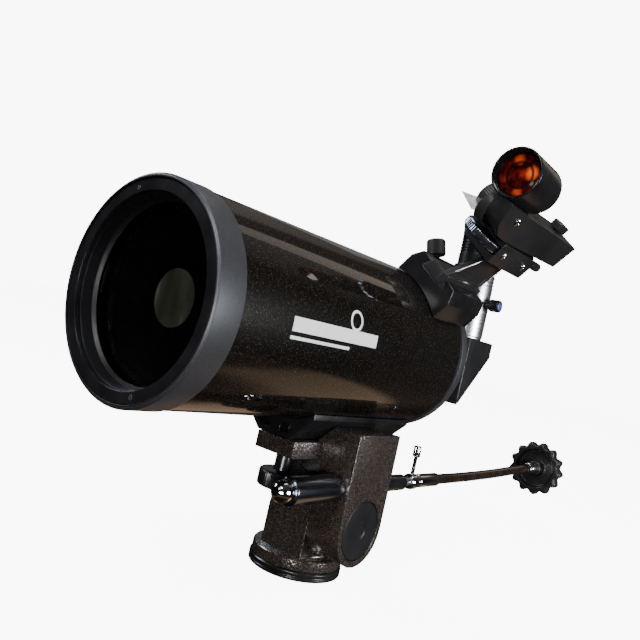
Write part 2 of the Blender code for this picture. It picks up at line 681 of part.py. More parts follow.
def make_cable():
    curve = bpy.data.curves.new("slow_motion_cable", "CURVE")
    curve.dimensions = "3D"
    curve.bevel_depth = 3.7 * MM
    curve.bevel_resolution = 3
    curve.use_fill_caps = True
    spline = curve.splines.new("POLY")
    spline.points.add(len(CABLE_ROUTE) - 1)
    for point, place in zip(spline.points, CABLE_ROUTE):
        point.co = (*spot(*place), 1.0)
    cable = curve_to_mesh(bpy.data.objects.new("cable_route", curve), "slow_motion_cable",
                          Matrix.Identity(4))
    keep(cable, RUBBER)
    place = spot(KNOB_X, 0.0, KNOB_Z)
    end = [(0.0, 441.2), (4.75, 441.2), (4.75, 426.0), (4.2, 425.3), (0.0, 425.3)]
    keep(turned("knob_ferrule", place, Y_AXIS, end, 16), CHROME)


def make_control_knob():
    lobes = []
    count = KNOB_LOBES * 6
    for i in range(count):
        angle = 2 * pi * i / count
        radius = 22.6 + 1.7 * cos(KNOB_LOBES * angle)
        lobes.append((radius * cos(angle), radius * sin(angle)))
    depth = 13.0
    place = spot(KNOB_X, KNOB_FRONT + depth / 2, KNOB_Z)
    knob = outline_solid("control_knob", lobes, depth, place, X_AXIS, Z_AXIS)
    dish = [(17.5, 7.0), (17.5, 0.5), (7.0, 0.5), (7.0, 7.0)]
    cut(knob, turned("knob_dish", place, -Y_AXIS, dish, 28))
    keep(knob, BLACK_PLASTIC)


# ---------------------------------------------------------------- mount head
def make_mount():
    axle_place = spot(0.0, AXLE_Y, AXLE_Z)
    column_outline = arc(21.0, 0, 180, 13, (AXLE_Y, AXLE_Z))
    column_outline += [(AXLE_Y - 21.0, -141.0), (AXLE_Y + 21.0, -141.0)]
    column = side_solid("fork_column", column_outline, -14.0, 18.5)
    center = spot(0.0, AXLE_Y, 0.0)
    table = turned("turntable", center, Z_AXIS, [
        (0.0, -137.4), (28.2, -137.4), (29.0, -138.2), (29.0, -144.0), (0.0, -144.0),
    ], 36)
    join(column, table)
    cut(
        column,
        hole("column_bore", axle_place, X_AXIS, 5.3, 30.0, -30.0),
        hole("pivot_socket", center, Z_AXIS, 5.3, -138.0, -150.0),
    )
    keep(column, HAMMERTONE)
    base = [
        (0.0, -138.4), (5.0, -138.4), (5.0, -144.3), (29.2, -144.3), (30.0, -145.1),
        (30.0, -150.0), (0.0, -150.0),
    ]
    keep(turned("base_disc", center, Z_AXIS, base, 36), BLACK_METAL)
    axle = [(0.0, 38.0), (5.0, 38.0), (5.0, -14.3), (9.0, -14.3), (9.0, -18.4), (8.0, -19.4), (0.0, -19.4)]
    keep(turned("altitude_axle", axle_place, X_AXIS, axle, 16), STEEL)
    wheel = ring(18.0, 5.3, 39.9, 26.0)
    keep(turned("worm_wheel", axle_place, X_AXIS, wheel, 36), BRASS)


def main():
    make_front_cell()
    make_retaining_ring()
    make_corrector()
    make_optical_tube()
    make_rear_cell()
    make_baffle()
    make_primary_mirror()
    make_focuser()
    make_visual_back()
    make_diagonal()
    make_eyepiece_holder()
    make_eyepiece()
    make_shoe()
    make_sight_arm()
    make_sight_base()
    make_sight_body()
    make_sight_tube()
    make_foot()
    make_saddle()
    make_clamp_knob()
    make_worm_drive()
    make_cable()
    make_control_knob()
    make_mount()


main()
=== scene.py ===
"""Looks of a small Maksutov telescope on a slow-motion head."""
import json
from math import cos, pi, radians, sin

import bmesh
import bpy
from bpy.props import FloatProperty, FloatVectorProperty, IntProperty, PointerProperty
from bpy.types import Operator, Panel, PropertyGroup
from mathutils import Matrix, Vector


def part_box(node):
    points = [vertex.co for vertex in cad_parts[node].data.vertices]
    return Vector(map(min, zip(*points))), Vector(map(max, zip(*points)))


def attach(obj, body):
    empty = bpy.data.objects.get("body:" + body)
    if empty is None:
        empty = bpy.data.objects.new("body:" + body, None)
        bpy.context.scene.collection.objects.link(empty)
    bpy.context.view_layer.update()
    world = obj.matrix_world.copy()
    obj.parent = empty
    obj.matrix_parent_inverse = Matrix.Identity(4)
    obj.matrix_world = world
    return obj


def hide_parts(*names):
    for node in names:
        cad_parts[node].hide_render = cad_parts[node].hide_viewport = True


bl_info = {
    "name": "Maksutov telescope",
    "version": (1, 0, 0),
    "blender": (4, 5, 0),
    "location": "View3D > Sidebar > Telescope",
    "description": "Builds the visible pieces of a small Maksutov telescope around its solids",
    "category": "Object",
}

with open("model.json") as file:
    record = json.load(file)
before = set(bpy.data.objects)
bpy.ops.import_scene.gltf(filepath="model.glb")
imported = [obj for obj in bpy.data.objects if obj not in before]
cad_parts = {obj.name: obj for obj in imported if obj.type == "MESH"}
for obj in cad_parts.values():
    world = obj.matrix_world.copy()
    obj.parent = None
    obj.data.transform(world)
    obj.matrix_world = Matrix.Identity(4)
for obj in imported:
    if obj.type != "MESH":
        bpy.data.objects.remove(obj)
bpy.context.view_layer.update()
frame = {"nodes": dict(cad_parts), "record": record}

MM = 0.001
X_AXIS = Vector((1.0, 0.0, 0.0))
Y_AXIS = Vector((0.0, 1.0, 0.0))
Z_AXIS = Vector((0.0, 0.0, 1.0))


def box(node):
    low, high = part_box(node)
    return Vector(low), Vector(high)


def middle(node):
    low, high = box(node)
    return (low + high) / 2


# The centre of the front rim: every profile below is in millimetres from it.
RIM = Vector((middle("optical_tube").x, box("front_cell")[0].y, middle("optical_tube").z))
TUBE_RADIUS = (box("optical_tube")[1].x - RIM.x) / MM
TUBE_START = (box("optical_tube")[0].y - RIM.y) / MM
TUBE_END = (box("optical_tube")[1].y - RIM.y) / MM
CELL_RADIUS = (box("front_cell")[1].x - RIM.x) / MM
BACK_FACE = (box("rear_cell")[1].y - RIM.y) / MM
SEAT_Z = box("base_disc")[0].z

# The sight's own axes: across and up from the tube's axis.
SIGHT_ANGLE = radians(40.3)
SIGHT_UP = Vector((sin(SIGHT_ANGLE), 0.0, cos(SIGHT_ANGLE)))
SIGHT_SIDE = Vector((cos(SIGHT_ANGLE), 0.0, -sin(SIGHT_ANGLE)))
SIGHT_TUBE_UP = 145.0
SIGHT_LENS_Y = 169.6
SIGHT_KNOB_Y = 258.5
DIAL_PLACE = (0.0, 185.0, 123.6)
WHEEL_PLACE = (-3.0, 199.0, 103.9)
THUMB_PLACE = (-24.3, 208.0, 72.5)
THUMB_AXIS = (SIGHT_SIDE * -0.812 + SIGHT_UP * 0.583).normalized()

# Painted highlights: silver strips along the bright edges of the finder's arm, each between two (along, up)
# places on its flank.
ARM_FLANK = 7.1
ARM_HIGHLIGHT_EDGES = (((190.0, 77.7), (206.4, 94.6)), ((231.6, 73.6), (234.3, 94.8)))

TUBE_WALL = 1.5
# How far the printed marks stand above and below the paint's surface.
MARK_SKIN = 0.06
# The radius of both faces of the corrector.
LENS_CURVE = 120.0
LENS_RADIUS = 44.9
LENS_THICKNESS = 8.0
LENS_FRONT = 12.1 + LENS_RADIUS ** 2 / (2 * LENS_CURVE)
SPANNER_TILT = radians(107)
EYEPIECE_Y = 327.0
WORM_X, WORM_Z = 33.0, -88.0
AXLE_Y, AXLE_Z = 167.5, -113.0
KNOB_X, KNOB_Z = 45.0, -80.0
CABLE_DIAMETER = 0.0074
# The cable's route, point for point the same as its solid's, from the rim's centre.
CABLE_ROUTE = (
    (33.0, 272.3, -88.0), (33.1, 285.0, -88.0), (33.6, 305.0, -87.8), (34.8, 325.0, -87.2),
    (36.7, 345.0, -86.1), (39.0, 365.0, -84.7), (41.4, 385.0, -82.9), (43.5, 402.0, -81.3),
    (44.7, 415.0, -80.3), (45.0, 425.0, -80.0),
)

CAMERA_PLACE = RIM + Vector((254.8, -186.5, 0.0)) * MM
CAMERA_BACK = Vector((0.61724, -0.78662, -0.01571))
CAMERA_UP = Vector((-0.16428, -0.14838, 0.97519))
CAMERA_LENS = 37.86


def spot(x, y, z):
    """A place given in millimetres from the front rim's centre."""
    return RIM + Vector((x, y, z)) * MM


def sight_spot(side, along, up):
    """A place given in millimetres in the sight's own axes."""
    point = SIGHT_SIDE * side + Y_AXIS * along + SIGHT_UP * up
    return spot(point.x, point.y, point.z)


# ------------------------------------------------------------------ shader helpers
class Wire:
    """A node socket that takes part in sums; each operator adds one Math node."""

    def __init__(self, tree, socket):
        self.tree = tree
        self.socket = socket

    def sum(self, operation, first, second):
        node = self.tree.nodes.new("ShaderNodeMath")
        node.operation = operation
        for slot, value in zip(node.inputs, (first, second)):
            feed(self.tree, slot, value)
        return Wire(self.tree, node.outputs[0])

    def __add__(self, other):
        return self.sum("ADD", self, other)

    __radd__ = __add__

    def __sub__(self, other):
        return self.sum("SUBTRACT", self, other)

    def __rsub__(self, other):
        return self.sum("SUBTRACT", other, self)

    def __mul__(self, other):
        return self.sum("MULTIPLY", self, other)

    __rmul__ = __mul__

    def __gt__(self, other):
        return self.sum("GREATER_THAN", self, other)


def feed(tree, slot, value):
    if isinstance(value, Wire):
        tree.links.new(value.socket, slot)
    else:
        slot.default_value = value


class Nodes:
    """A node tree that is built up from calls."""

    def __init__(self, tree, coordinates):
        self.tree = tree
        self.place = self.node("ShaderNodeTexCoord", out=coordinates)

    def node(self, kind, settings=None, values=None, out=0):
        node = self.tree.nodes.new(kind)
        for key, value in (settings or {}).items():
            if key == "stops":
                for element, (position, shade) in zip(ramp_stops(node, len(value)), value):
                    element.position = position
                    element.color = shade
            else:
                setattr(node, key, value)
        for key, value in (values or {}).items():
            feed(self.tree, node.inputs[key], value)
        return Wire(self.tree, node.outputs[out])

    def noise(self, scale, detail=2.0, place=None):
        return self.node("ShaderNodeTexNoise", {}, {
            "Vector": place or self.place, "Scale": scale, "Detail": detail,
        })

    def cells(self, scale, feature="F1", out="Distance"):
        return self.node("ShaderNodeTexVoronoi", {"feature": feature}, {
            "Vector": self.place, "Scale": scale,
        }, out)

    def stretched(self, scale):
        """The object's own coordinates, scaled apart along each axis."""
        return self.node("ShaderNodeMapping", {}, {"Vector": self.place, "Scale": scale})

    def ramp(self, value, stops):
        return self.node("ShaderNodeValToRGB", {"stops": stops}, {"Fac": value})

    def fade(self, value, start, end):
        """Rise smoothly from 0 at one value to 1 at another."""
        return self.node("ShaderNodeMapRange", {"interpolation_type": "SMOOTHSTEP"}, {
            "Value": value, "From Min": start, "From Max": end,
        })

    def near(self, place, inner, outer):
        """1 within the inner distance of a place, in millimetres, and 0 past the outer."""
        ends = {0: self.place, 1: place}
        away = self.node("ShaderNodeVectorMath", {"operation": "DISTANCE"}, ends, "Value")
        return 1 - self.fade(away, inner * MM, outer * MM)

    def blend(self, factor, first, second):
        node = self.tree.nodes.new("ShaderNodeMix")
        node.data_type = "RGBA"
        feed(self.tree, node.inputs[0], factor)
        feed(self.tree, node.inputs[6], first)
        feed(self.tree, node.inputs[7], second)
        return Wire(self.tree, node.outputs[2])


class Finish(Nodes):
    """A Principled material that is built up node by node."""

    def __init__(self, name, color, roughness, metallic=0.0, **constants):
        self.material = bpy.data.materials.new(name)
        self.material.use_nodes = True
        super().__init__(self.material.node_tree, "Object")
        self.shader = self.tree.nodes["Principled BSDF"]
        self.set("Base Color", (*color, 1.0))
        self.set("Roughness", roughness)
        self.set("Metallic", metallic)
        for socket, value in constants.items():
            self.set(socket.replace("_", " "), value)

    def set(self, socket, value):
        feed(self.tree, self.shader.inputs[socket], value)

    def tones(self, value, low, high, start=0.3, end=0.7):
        """Colour the piece from one shade to another as a value rises."""
        self.set("Base Color", self.ramp(value, [(start, (*low, 1)), (end, (*high, 1))]))

    def bump(self, height, strength, distance):
        self.set("Normal", self.node("ShaderNodeBump", {}, {
            "Height": height, "Strength": strength, "Distance": distance,
        }))


def ramp_stops(node, count):
    elements = node.color_ramp.elements
    while len(elements) < count:
        elements.new(1.0)
    return elements


# ------------------------------------------------------------------ finishes
def tube_paint(looks):
    paint = Finish("tube_paint", looks.tube_color, 0.4, 0.0, Coat_Roughness=0.03, Coat_Weight=1.0,
                   Specular_IOR_Level=0.1)
    flake = paint.cells(looks.flake_scale, out="Color")
    pick = paint.node("ShaderNodeSeparateColor", {}, {"Color": flake})
    chosen = pick > 0.915
    green = Wire(paint.tree, pick.socket.node.outputs[1])
    glow = chosen * green * green
    mottle = paint.noise(9.0, 3.0)
    lighter = (*(c * 1.6 for c in looks.tube_color), 1.0)
    under = paint.blend(mottle, (*looks.tube_color, 1.0), lighter)
    paint.set("Base Color", paint.blend(glow, under, (*looks.flake_color, 1.0)))
    paint.set("Metallic", glow * 0.5)
    paint.set("Roughness", 0.42 - glow * 0.16)
    return paint.material


def inner_black(looks):
    paint = Finish("inner_black", (0.006, 0.006, 0.006), 0.85, Specular_IOR_Level=0.2)
    grain = paint.noise(1500.0, 2.0)
    paint.tones(grain, (0.003, 0.003, 0.003), (0.009, 0.009, 0.009))
    paint.set("Roughness", 0.8 + grain * 0.1)
    return paint.material


def cell_paint(looks):
    paint = Finish("cell_paint", (0.030, 0.031, 0.034), 0.42, 0.35)
    grain = paint.noise(2600.0, 2.0)
    paint.set("Roughness", 0.36 + grain * 0.14)
    color = paint.ramp(grain, [(0.3, (0.024, 0.025, 0.029, 1)), (0.75, (0.058, 0.060, 0.068, 1))])
    inside = paint.near(spot(0.0, 0.0, 0.0), 52.7, 53.4)
    paint.set("Base Color", paint.blend(inside, color, (0.005, 0.005, 0.007, 1)))
    paint.bump(grain, 0.35, 0.00012)
    return paint.material


def black_metal(looks):
    paint = Finish("black_metal", (0.011, 0.011, 0.012), 0.28, 0.3)
    cloud = paint.noise(60.0, 4.0)
    grain = paint.noise(3200.0, 1.0)
    paint.set("Roughness", 0.18 + cloud * 0.14)
    paint.tones(cloud, (0.008, 0.008, 0.009), (0.017, 0.017, 0.019))
    paint.bump(grain, 0.06, 0.00004)
    return paint.material


def hammertone(looks):
    paint = Finish("hammertone", looks.casting_color, 0.24, 0.2, Coat_Roughness=0.10, Coat_Weight=0.7)
    dimple = paint.cells(780.0, "SMOOTH_F1")
    vein = paint.noise(1500.0, 3.0)
    glitter = paint.fade(paint.noise(2300.0, 1.0), 0.60, 0.72)
    color = paint.ramp(dimple * 0.8 + vein * 0.3, [
        (0.25, (0.008, 0.006, 0.005, 1)), (0.6, (*looks.casting_color, 1)), (0.9, (0.07, 0.054, 0.043, 1)),
    ])
    paint.set("Base Color", paint.blend(glitter * 0.6, color, (0.30, 0.25, 0.22, 1)))
    paint.set("Roughness", 0.18 + vein * 0.16)
    paint.bump(dimple, 0.6, 0.0005)
    return paint.material


def black_plastic(looks):
    paint = Finish("black_plastic", (0.012, 0.012, 0.013), 0.40, Specular_IOR_Level=0.35)
    grain = paint.noise(1800.0, 2.0)
    cloud = paint.noise(35.0, 3.0)
    paint.set("Roughness", 0.26 + cloud * 0.14)
    paint.tones(cloud, (0.010, 0.010, 0.011), (0.019, 0.019, 0.020))
    paint.bump(grain, 0.10, 0.00006)
    return paint.material


def rubber(looks):
    paint = Finish("rubber", (0.010, 0.010, 0.010), 0.78)
    grain = paint.noise(1400.0, 4.0)
    paint.set("Roughness", 0.70 + grain * 0.16)
    paint.tones(grain, (0.007, 0.007, 0.007), (0.018, 0.018, 0.018))
    paint.bump(grain, 0.4, 0.0002)
    return paint.material


def cable_cover(looks):
    paint = Finish("cable_cover", (0.014, 0.010, 0.008), 0.16, 0.0, Coat_Weight=0.5, Coat_Roughness=0.05)
    wave = paint.noise(140.0, 3.0)
    paint.set("Roughness", 0.12 + wave * 0.14)
    paint.tones(wave, (0.009, 0.007, 0.006), (0.030, 0.019, 0.013), end=0.75)
    paint.bump(wave, 0.12, 0.0004)
    return paint.material


def bright_metal(name, color, roughness, scale, swirl):
    """Turned or plated metal with fine tool rings that wander a little."""
    paint = Finish(name, color, roughness, 1.0)
    rings = paint.noise(1.0, 2.0, paint.stretched(scale))
    haze = paint.noise(70.0, 3.0)
    low = tuple(c * 0.84 for c in color)
    paint.tones(rings, low, color, 0.25, 0.75)
    paint.set("Roughness", roughness * 0.7 + rings * roughness * 0.5 + haze * 0.05)
    paint.bump(rings, swirl, 0.00006)
    return paint.material


def chrome(looks):
    return bright_metal("chrome", (0.78, 0.79, 0.81), 0.09, (40.0, 900.0, 40.0), 0.05)


def gunmetal(looks):
    return bright_metal("gunmetal", (0.20, 0.21, 0.26), 0.20, (60.0, 60.0, 900.0), 0.10)


def blued_steel(looks):
    return bright_metal("blued_steel", (0.16, 0.22, 0.55), 0.50, (40.0, 900.0, 900.0), 0.10)


def satin_silver(looks):
    return bright_metal("satin_silver", (0.66, 0.67, 0.69), 0.27, (30.0, 30.0, 5200.0), 0.35)


def steel(looks):
    return bright_metal("steel", (0.50, 0.50, 0.51), 0.30, (2600.0, 60.0, 60.0), 0.25)


def brass(looks):
    return bright_metal("brass", (0.68, 0.47, 0.19), 0.26, (2600.0, 60.0, 60.0), 0.25)


def clear_glass(looks):
    paint = Finish("glass", (0.90, 0.97, 0.93), 0.0, 0.0, Transmission_Weight=1.0, IOR=1.5)
    dust = paint.noise(420.0, 5.0)
    paint.set("Roughness", paint.ramp(dust, [(0.55, (0.0, 0.0, 0.0, 1)), (0.85, (0.05, 0.05, 0.05, 1))]))
    return paint.material


def mirror_coat(looks):
    paint = Finish("mirror", looks.mirror_color, 0.04, 1.0)
    haze = paint.noise(30.0, 3.0)
    low = tuple(c * 0.85 for c in looks.mirror_color)
    paint.tones(haze, low, looks.mirror_color)
    paint.set("Roughness", 0.02 + haze * 0.06)
    return paint.material


def spot_painted_glow(looks):
    """The dim aluminised spot, seen through the corrector, with a painted glow: a faint emission with a
    lighter streak paints its reflection.
    """
    paint = Finish("spot_painted_glow", looks.mirror_color, 0.12, 1.0, Emission_Strength=1.0)
    painted_glow_streak = paint.noise(1.0, 2.0, paint.stretched((95.0, 10.0, 18.0)))
    # Painted light: the spot glows through its emission, a painted reflection with a lighter streak.
    paint.set("Emission Color", paint.ramp(painted_glow_streak, [
        (0.35, (0.012, 0.012, 0.009, 1)), (0.55, (0.026, 0.025, 0.019, 1)),
        (0.62, (0.060, 0.058, 0.048, 1)),
    ]))
    paint.set("Roughness", 0.10 + painted_glow_streak * 0.08)
    return paint.material


def red_glass(looks):
    paint = Finish("red_glass", (0.02, 0.002, 0.002), 0.03, 0.0, Coat_Weight=1.0, Coat_Roughness=0.02)
    drift = paint.noise(330.0, 3.0)
    color = paint.ramp(drift, [(0.35, (0.004, 0.001, 0.001, 1)), (0.75, (0.10, 0.004, 0.003, 1))])
    # Painted reflections: orange, red and cyan patches at set places on the lens.
    painted_reflections = [
        ((4.5, 5.5), 2.2, 5.6, (0.95, 0.14, 0.025, 1)), ((-7.5, 6.0), 1.6, 4.6, (0.80, 0.09, 0.02, 1)),
        ((7.0, -7.5), 1.4, 4.4, (0.62, 0.06, 0.02, 1)), ((-5.0, -7.5), 1.0, 4.0, (0.22, 0.02, 0.01, 1)),
        ((9.4, 1.6), 1.0, 2.8, (0.16, 0.52, 0.55, 1)), ((0.5, 1.5), 0.6, 4.0, (0.30, 0.02, 0.012, 1)),
    ]
    for (side, up), inner, outer, shade in painted_reflections:
        painted_patch = paint.near(sight_spot(side, SIGHT_LENS_Y, SIGHT_TUBE_UP + up), inner, outer)
        color = paint.blend(painted_patch * (0.35 + drift), color, shade)
    center = sight_spot(0.0, SIGHT_LENS_Y, SIGHT_TUBE_UP)
    # Painted reflection: a dark ring round the lens's middle. The lens is also darker towards its rim.
    ring = paint.near(center, 8.2, 9.0) - paint.near(center, 6.6, 7.4)
    edge = 1 - paint.near(center, 11.6, 12.6)
    paint.set("Base Color", paint.blend((ring + edge) * 0.85, color, (0.004, 0.003, 0.004, 1)))
    paint.set("Roughness", 0.02 + drift * 0.05)
    return paint.material


def film(looks):
    paint = Finish("film", (0.55, 0.52, 0.56), 0.22, 0.0)
    haze = paint.noise(120.0, 3.0)
    paint.tones(haze, (0.40, 0.38, 0.42), (0.66, 0.63, 0.66))
    paint.set("Alpha", 0.62 + haze * 0.25)
    return paint.material


def white_print(looks):
    paint = Finish("white_print", (0.86, 0.86, 0.85), 0.35)
    grain = paint.noise(900.0, 2.0)
    paint.tones(grain, (0.78, 0.78, 0.77), (0.90, 0.90, 0.89))
    return paint.material


FINISHES = {
    "tube_paint": tube_paint, "inner_black": inner_black, "cell_paint": cell_paint,
    "black_metal": black_metal, "hammertone": hammertone, "black_plastic": black_plastic,
    "rubber": rubber, "cable_cover": cable_cover, "chrome": chrome, "gunmetal": gunmetal,
    "blued_steel": blued_steel, "satin_silver": satin_silver, "steel": steel, "brass": brass,
    "glass": clear_glass, "mirror": mirror_coat, "spot_painted_glow": spot_painted_glow, "red_glass": red_glass,
    "film": film, "white_print": white_print,
}


def finish_for(slot):
    found = bpy.data.materials.get(slot)
    if found is None or not found.get("telescope"):
        found = FINISHES[slot](bpy.context.scene.telescope_looks)
        found["telescope"] = True
    return found


def slot_of(node):
    for row in frame["record"]["subparts"]:
        if row["node"] == node:
            return row["material_slot"]
    raise RuntimeError(f"no slot for {node}")


def body_of(node):
    for body, nodes in frame["record"]["behaviour"]["bodies"].items():
        if node in nodes:
            return body
    raise RuntimeError(f"no body for {node}")


# ------------------------------------------------------------------ shape helpers
def softened(profile, radius):
    """Round each corner of a profile off the axis with a short curve."""
    points = [Vector(p) for p in profile]
    closed = points[0].x > 0.0
    count = len(points)
    result = []
    for i, corner in enumerate(points):
        if not closed and i in (0, count - 1):
            result.append(corner)
            continue
        before = points[i - 1] - corner
        after = points[(i + 1) % count] - corner
        reach = min(radius, before.length * 0.4, after.length * 0.4)
        turn = before.angle(after)
        if turn > radians(165) or reach < 0.01:
            result.append(corner)
            continue
        start = corner + before.normalized() * reach
        end = corner + after.normalized() * reach
        for step in range(5):
            t = step / 4
            result.append(start * (1 - t) ** 2 + corner * 2 * t * (1 - t) + end * t * t)
    return result


def turn_to(place, axis):
    return Matrix.Translation(place) @ axis.to_track_quat("Z", "Y").to_matrix().to_4x4()


def spun(name, place, axis, profile, steps=96, radius=0.35, shape_up=None):
    """Spin a profile of (radius, height) pairs, in millimetres, about an axis."""
    shape = bmesh.new()
    points = softened(profile, radius) if radius else [Vector(p) for p in profile]
    corners = [shape.verts.new((p.x * MM, 0.0, p.y * MM)) for p in points]
    pairs = list(zip(corners, corners[1:]))
    if profile[0][0] > 0.0:
        pairs.append((corners[-1], corners[0]))
    edges = [shape.edges.new(pair) for pair in pairs]
    bmesh.ops.spin(
        shape, geom=corners + edges, cent=(0, 0, 0), axis=(0, 0, 1), dvec=(0, 0, 0),
        angle=2 * pi, steps=steps, use_merge=True,
    )
    bmesh.ops.remove_doubles(shape, verts=shape.verts, dist=0.000002)
    bmesh.ops.recalc_face_normals(shape, faces=shape.faces)
    if shape_up:
        shape_up(shape)
    bmesh.ops.transform(shape, matrix=turn_to(place, axis), verts=shape.verts)
    return finished(name, shape)


def finished(name, shape, smooth=30):
    """Make a shaded piece of a shape, with edges above an angle left sharp."""
    mesh = bpy.data.meshes.new(name)
    shape.to_mesh(mesh)
    shape.free()
    mesh.shade_smooth()
    mesh.set_sharp_from_angle(angle=radians(smooth))
    piece = bpy.data.objects.new(name, mesh)
    bpy.context.scene.collection.objects.link(piece)
    return piece


def flutes(count, depth, low, high, inner):
    """Cut scallops into the wall of a spun piece between two heights."""
    def carve(shape):
        for vert in shape.verts:
            reach = (vert.co.x ** 2 + vert.co.y ** 2) ** 0.5
            if low * MM <= vert.co.z <= high * MM and reach > inner * MM:
                angle = Vector((vert.co.x, vert.co.y)).angle_signed(Vector((1, 0)))
                cut = depth * MM * (0.5 - 0.5 * cos(count * angle))
                vert.co.x *= (reach - cut) / reach
                vert.co.y *= (reach - cut) / reach
    return carve


def place_piece(piece, node, finish=None):
    """Give a new piece its finish and let it stand for a solid."""
    piece.data.materials.append(finish_for(finish or slot_of(node)))
    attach(piece, body_of(node))
    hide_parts(node)
    return piece


def add_piece(piece, body, slot, finish=None):
    """Give a piece that has no solid of its own its finish and its body."""
    piece.data.materials.append(finish_for(finish or slot))
    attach(piece, body)
    return piece


def refined(node, width, segments=3, corner=28):
    """Stand for a solid with a copy of it whose sharp edges are rounded."""
    shape = bmesh.new()
    shape.from_mesh(frame["nodes"][node].data)
    bmesh.ops.remove_doubles(shape, verts=shape.verts, dist=0.000005)
    bmesh.ops.dissolve_limit(
        shape, angle_limit=radians(1.0), verts=shape.verts, edges=shape.edges,
    )
    sharp = [e for e in shape.edges if e.is_manifold and e.calc_face_angle(0.0) > radians(corner)]
    bmesh.ops.bevel(
        shape, geom=sharp, offset=width * MM, offset_type="OFFSET", segments=segments,
        profile=0.5, affect="EDGES", clamp_overlap=True, material=-1,
    )
    bmesh.ops.triangulate(shape, faces=[f for f in shape.faces if len(f.verts) > 4])
    return place_piece(finished(node + "_body", shape, 35), node)


def carried_over(*nodes):
    """Show solids as they are, with their new finishes."""
    for node in nodes:
        part = frame["nodes"][node]
        part.data.materials.clear()
        part.data.materials.append(finish_for(slot_of(node)))


# ------------------------------------------------------------------ settings
def color_setting(name, description, default):
    return FloatVectorProperty(
        name=name, description=description, subtype="COLOR", size=3, min=0.0, max=1.0, default=default,
    )


class TelescopeLooks(PropertyGroup):
    """Colours and finishes that a user would change."""
    tube_color: color_setting("Tube colour", "Base colour of the tube's paint", (0.0016, 0.0012, 0.0009))
    flake_color: color_setting("Flake colour", "Colour of the metal flake in the paint", (0.13, 0.10, 0.07))
    flake_scale: FloatProperty(name="Flake scale", description="Flake cells in each metre", default=4200.0)
    casting_color: color_setting("Casting colour", "Hammered enamel of the head", (0.040, 0.032, 0.028))
    mirror_color: color_setting("Mirror colour", "Tint of the reflecting coats", (0.30, 0.30, 0.27))


class TelescopeShape(PropertyGroup):
    """Sizes of the surface detail."""
    round_steps: IntProperty(
        name="Round steps", description="Segments around the large turned pieces", default=192, min=24,
    )
    knurl_count: IntProperty(
        name="Knurl count", description="Scallops around a small knurled head", default=30, min=8,
    )


class StageSettings(PropertyGroup):
    """Floor and lights."""
    floor_color: color_setting("Floor colour", "Colour of the floor", (0.82, 0.82, 0.82))
    floor_glow: FloatProperty(name="Floor glow", description="Light given off by the floor", default=8.6)
    key_power: FloatProperty(name="Key power", description="Main soft light", default=34.0, unit="POWER")
    sky_strength: FloatProperty(name="Sky strength", description="Light from all round", default=1.0)
    backdrop_strength: FloatProperty(
        name="Backdrop strength", description="Brightness of the backdrop", default=9.0,
    )


def shape_settings():
    return bpy.context.scene.telescope_shape


# ------------------------------------------------------------------ telescope tube
class TELESCOPE_OT_tube(Operator):
    """The painted tube with its plain printed mark"""
    bl_idname = "telescope.tube"
    bl_label = "Tube"

    def execute(self, context):
        inner = TUBE_RADIUS - TUBE_WALL
        profile = [
            (TUBE_RADIUS, TUBE_END), (TUBE_RADIUS, TUBE_START), (inner, TUBE_START), (inner, TUBE_END),
        ]
        tube = spun("tube_body", RIM, Y_AXIS, profile, shape_settings().round_steps, 0.25)
        place_piece(tube, "optical_tube")
        lined(tube, TUBE_RADIUS - TUBE_WALL / 2)
        add_piece(printed_bars(), "head", "tube_paint", "white_print")
        ring = [(5.6, 0.0), (5.6, -0.5), (4.2, -0.5), (4.2, 0.0)]
        printed_ring = wrapped(spun("printed_ring", Vector(), Z_AXIS, ring, 48, 0.0), 101.5, 10.0)
        add_piece(printed_ring, "head", "tube_paint", "white_print")
        return {"FINISHED"}


def lined(piece, radius):
    """Paint every face nearer the tube's axis than a radius in dull black."""
    piece.data.materials.append(finish_for("inner_black"))
    for face in piece.data.polygons:
        reach = face.center - RIM
        if Vector((reach.x, reach.z)).length < radius * MM:
            face.material_index = 1



def wrapped(piece, middle_y, angle):
    """Bend a flat piece drawn in millimetres on X and Y onto the tube's side."""
    for vert in piece.data.vertices:
        turn = radians(angle) + vert.co.y / MM / TUBE_RADIUS
        reach = TUBE_RADIUS + (MARK_SKIN if vert.co.z > -0.1 * MM else -MARK_SKIN)
        vert.co = spot(reach * cos(turn), middle_y + vert.co.x / MM, reach * sin(turn))
    return piece


def printed_bars():
    """Two plain stripes, the upper one broad, wrapped on the tube's side."""
    shape = bmesh.new()
    for low, high, start, end in ((-1.8, 5.2, -36.0, 36.0), (-5.6, -4.0, -36.0, 12.0)):
        made = bmesh.ops.create_grid(shape, x_segments=8, y_segments=6, size=0.5)
        for vert in made["verts"]:
            vert.co.x = (start + (vert.co.x + 0.5) * (end - start)) * MM
            vert.co.y = (low + (vert.co.y + 0.5) * (high - low)) * MM
    bmesh.ops.solidify(shape, geom=shape.faces[:], thickness=0.5 * MM)
    bmesh.ops.recalc_face_normals(shape, faces=shape.faces)
    return wrapped(finished("printed_stripes", shape), 87.0, -1.0)


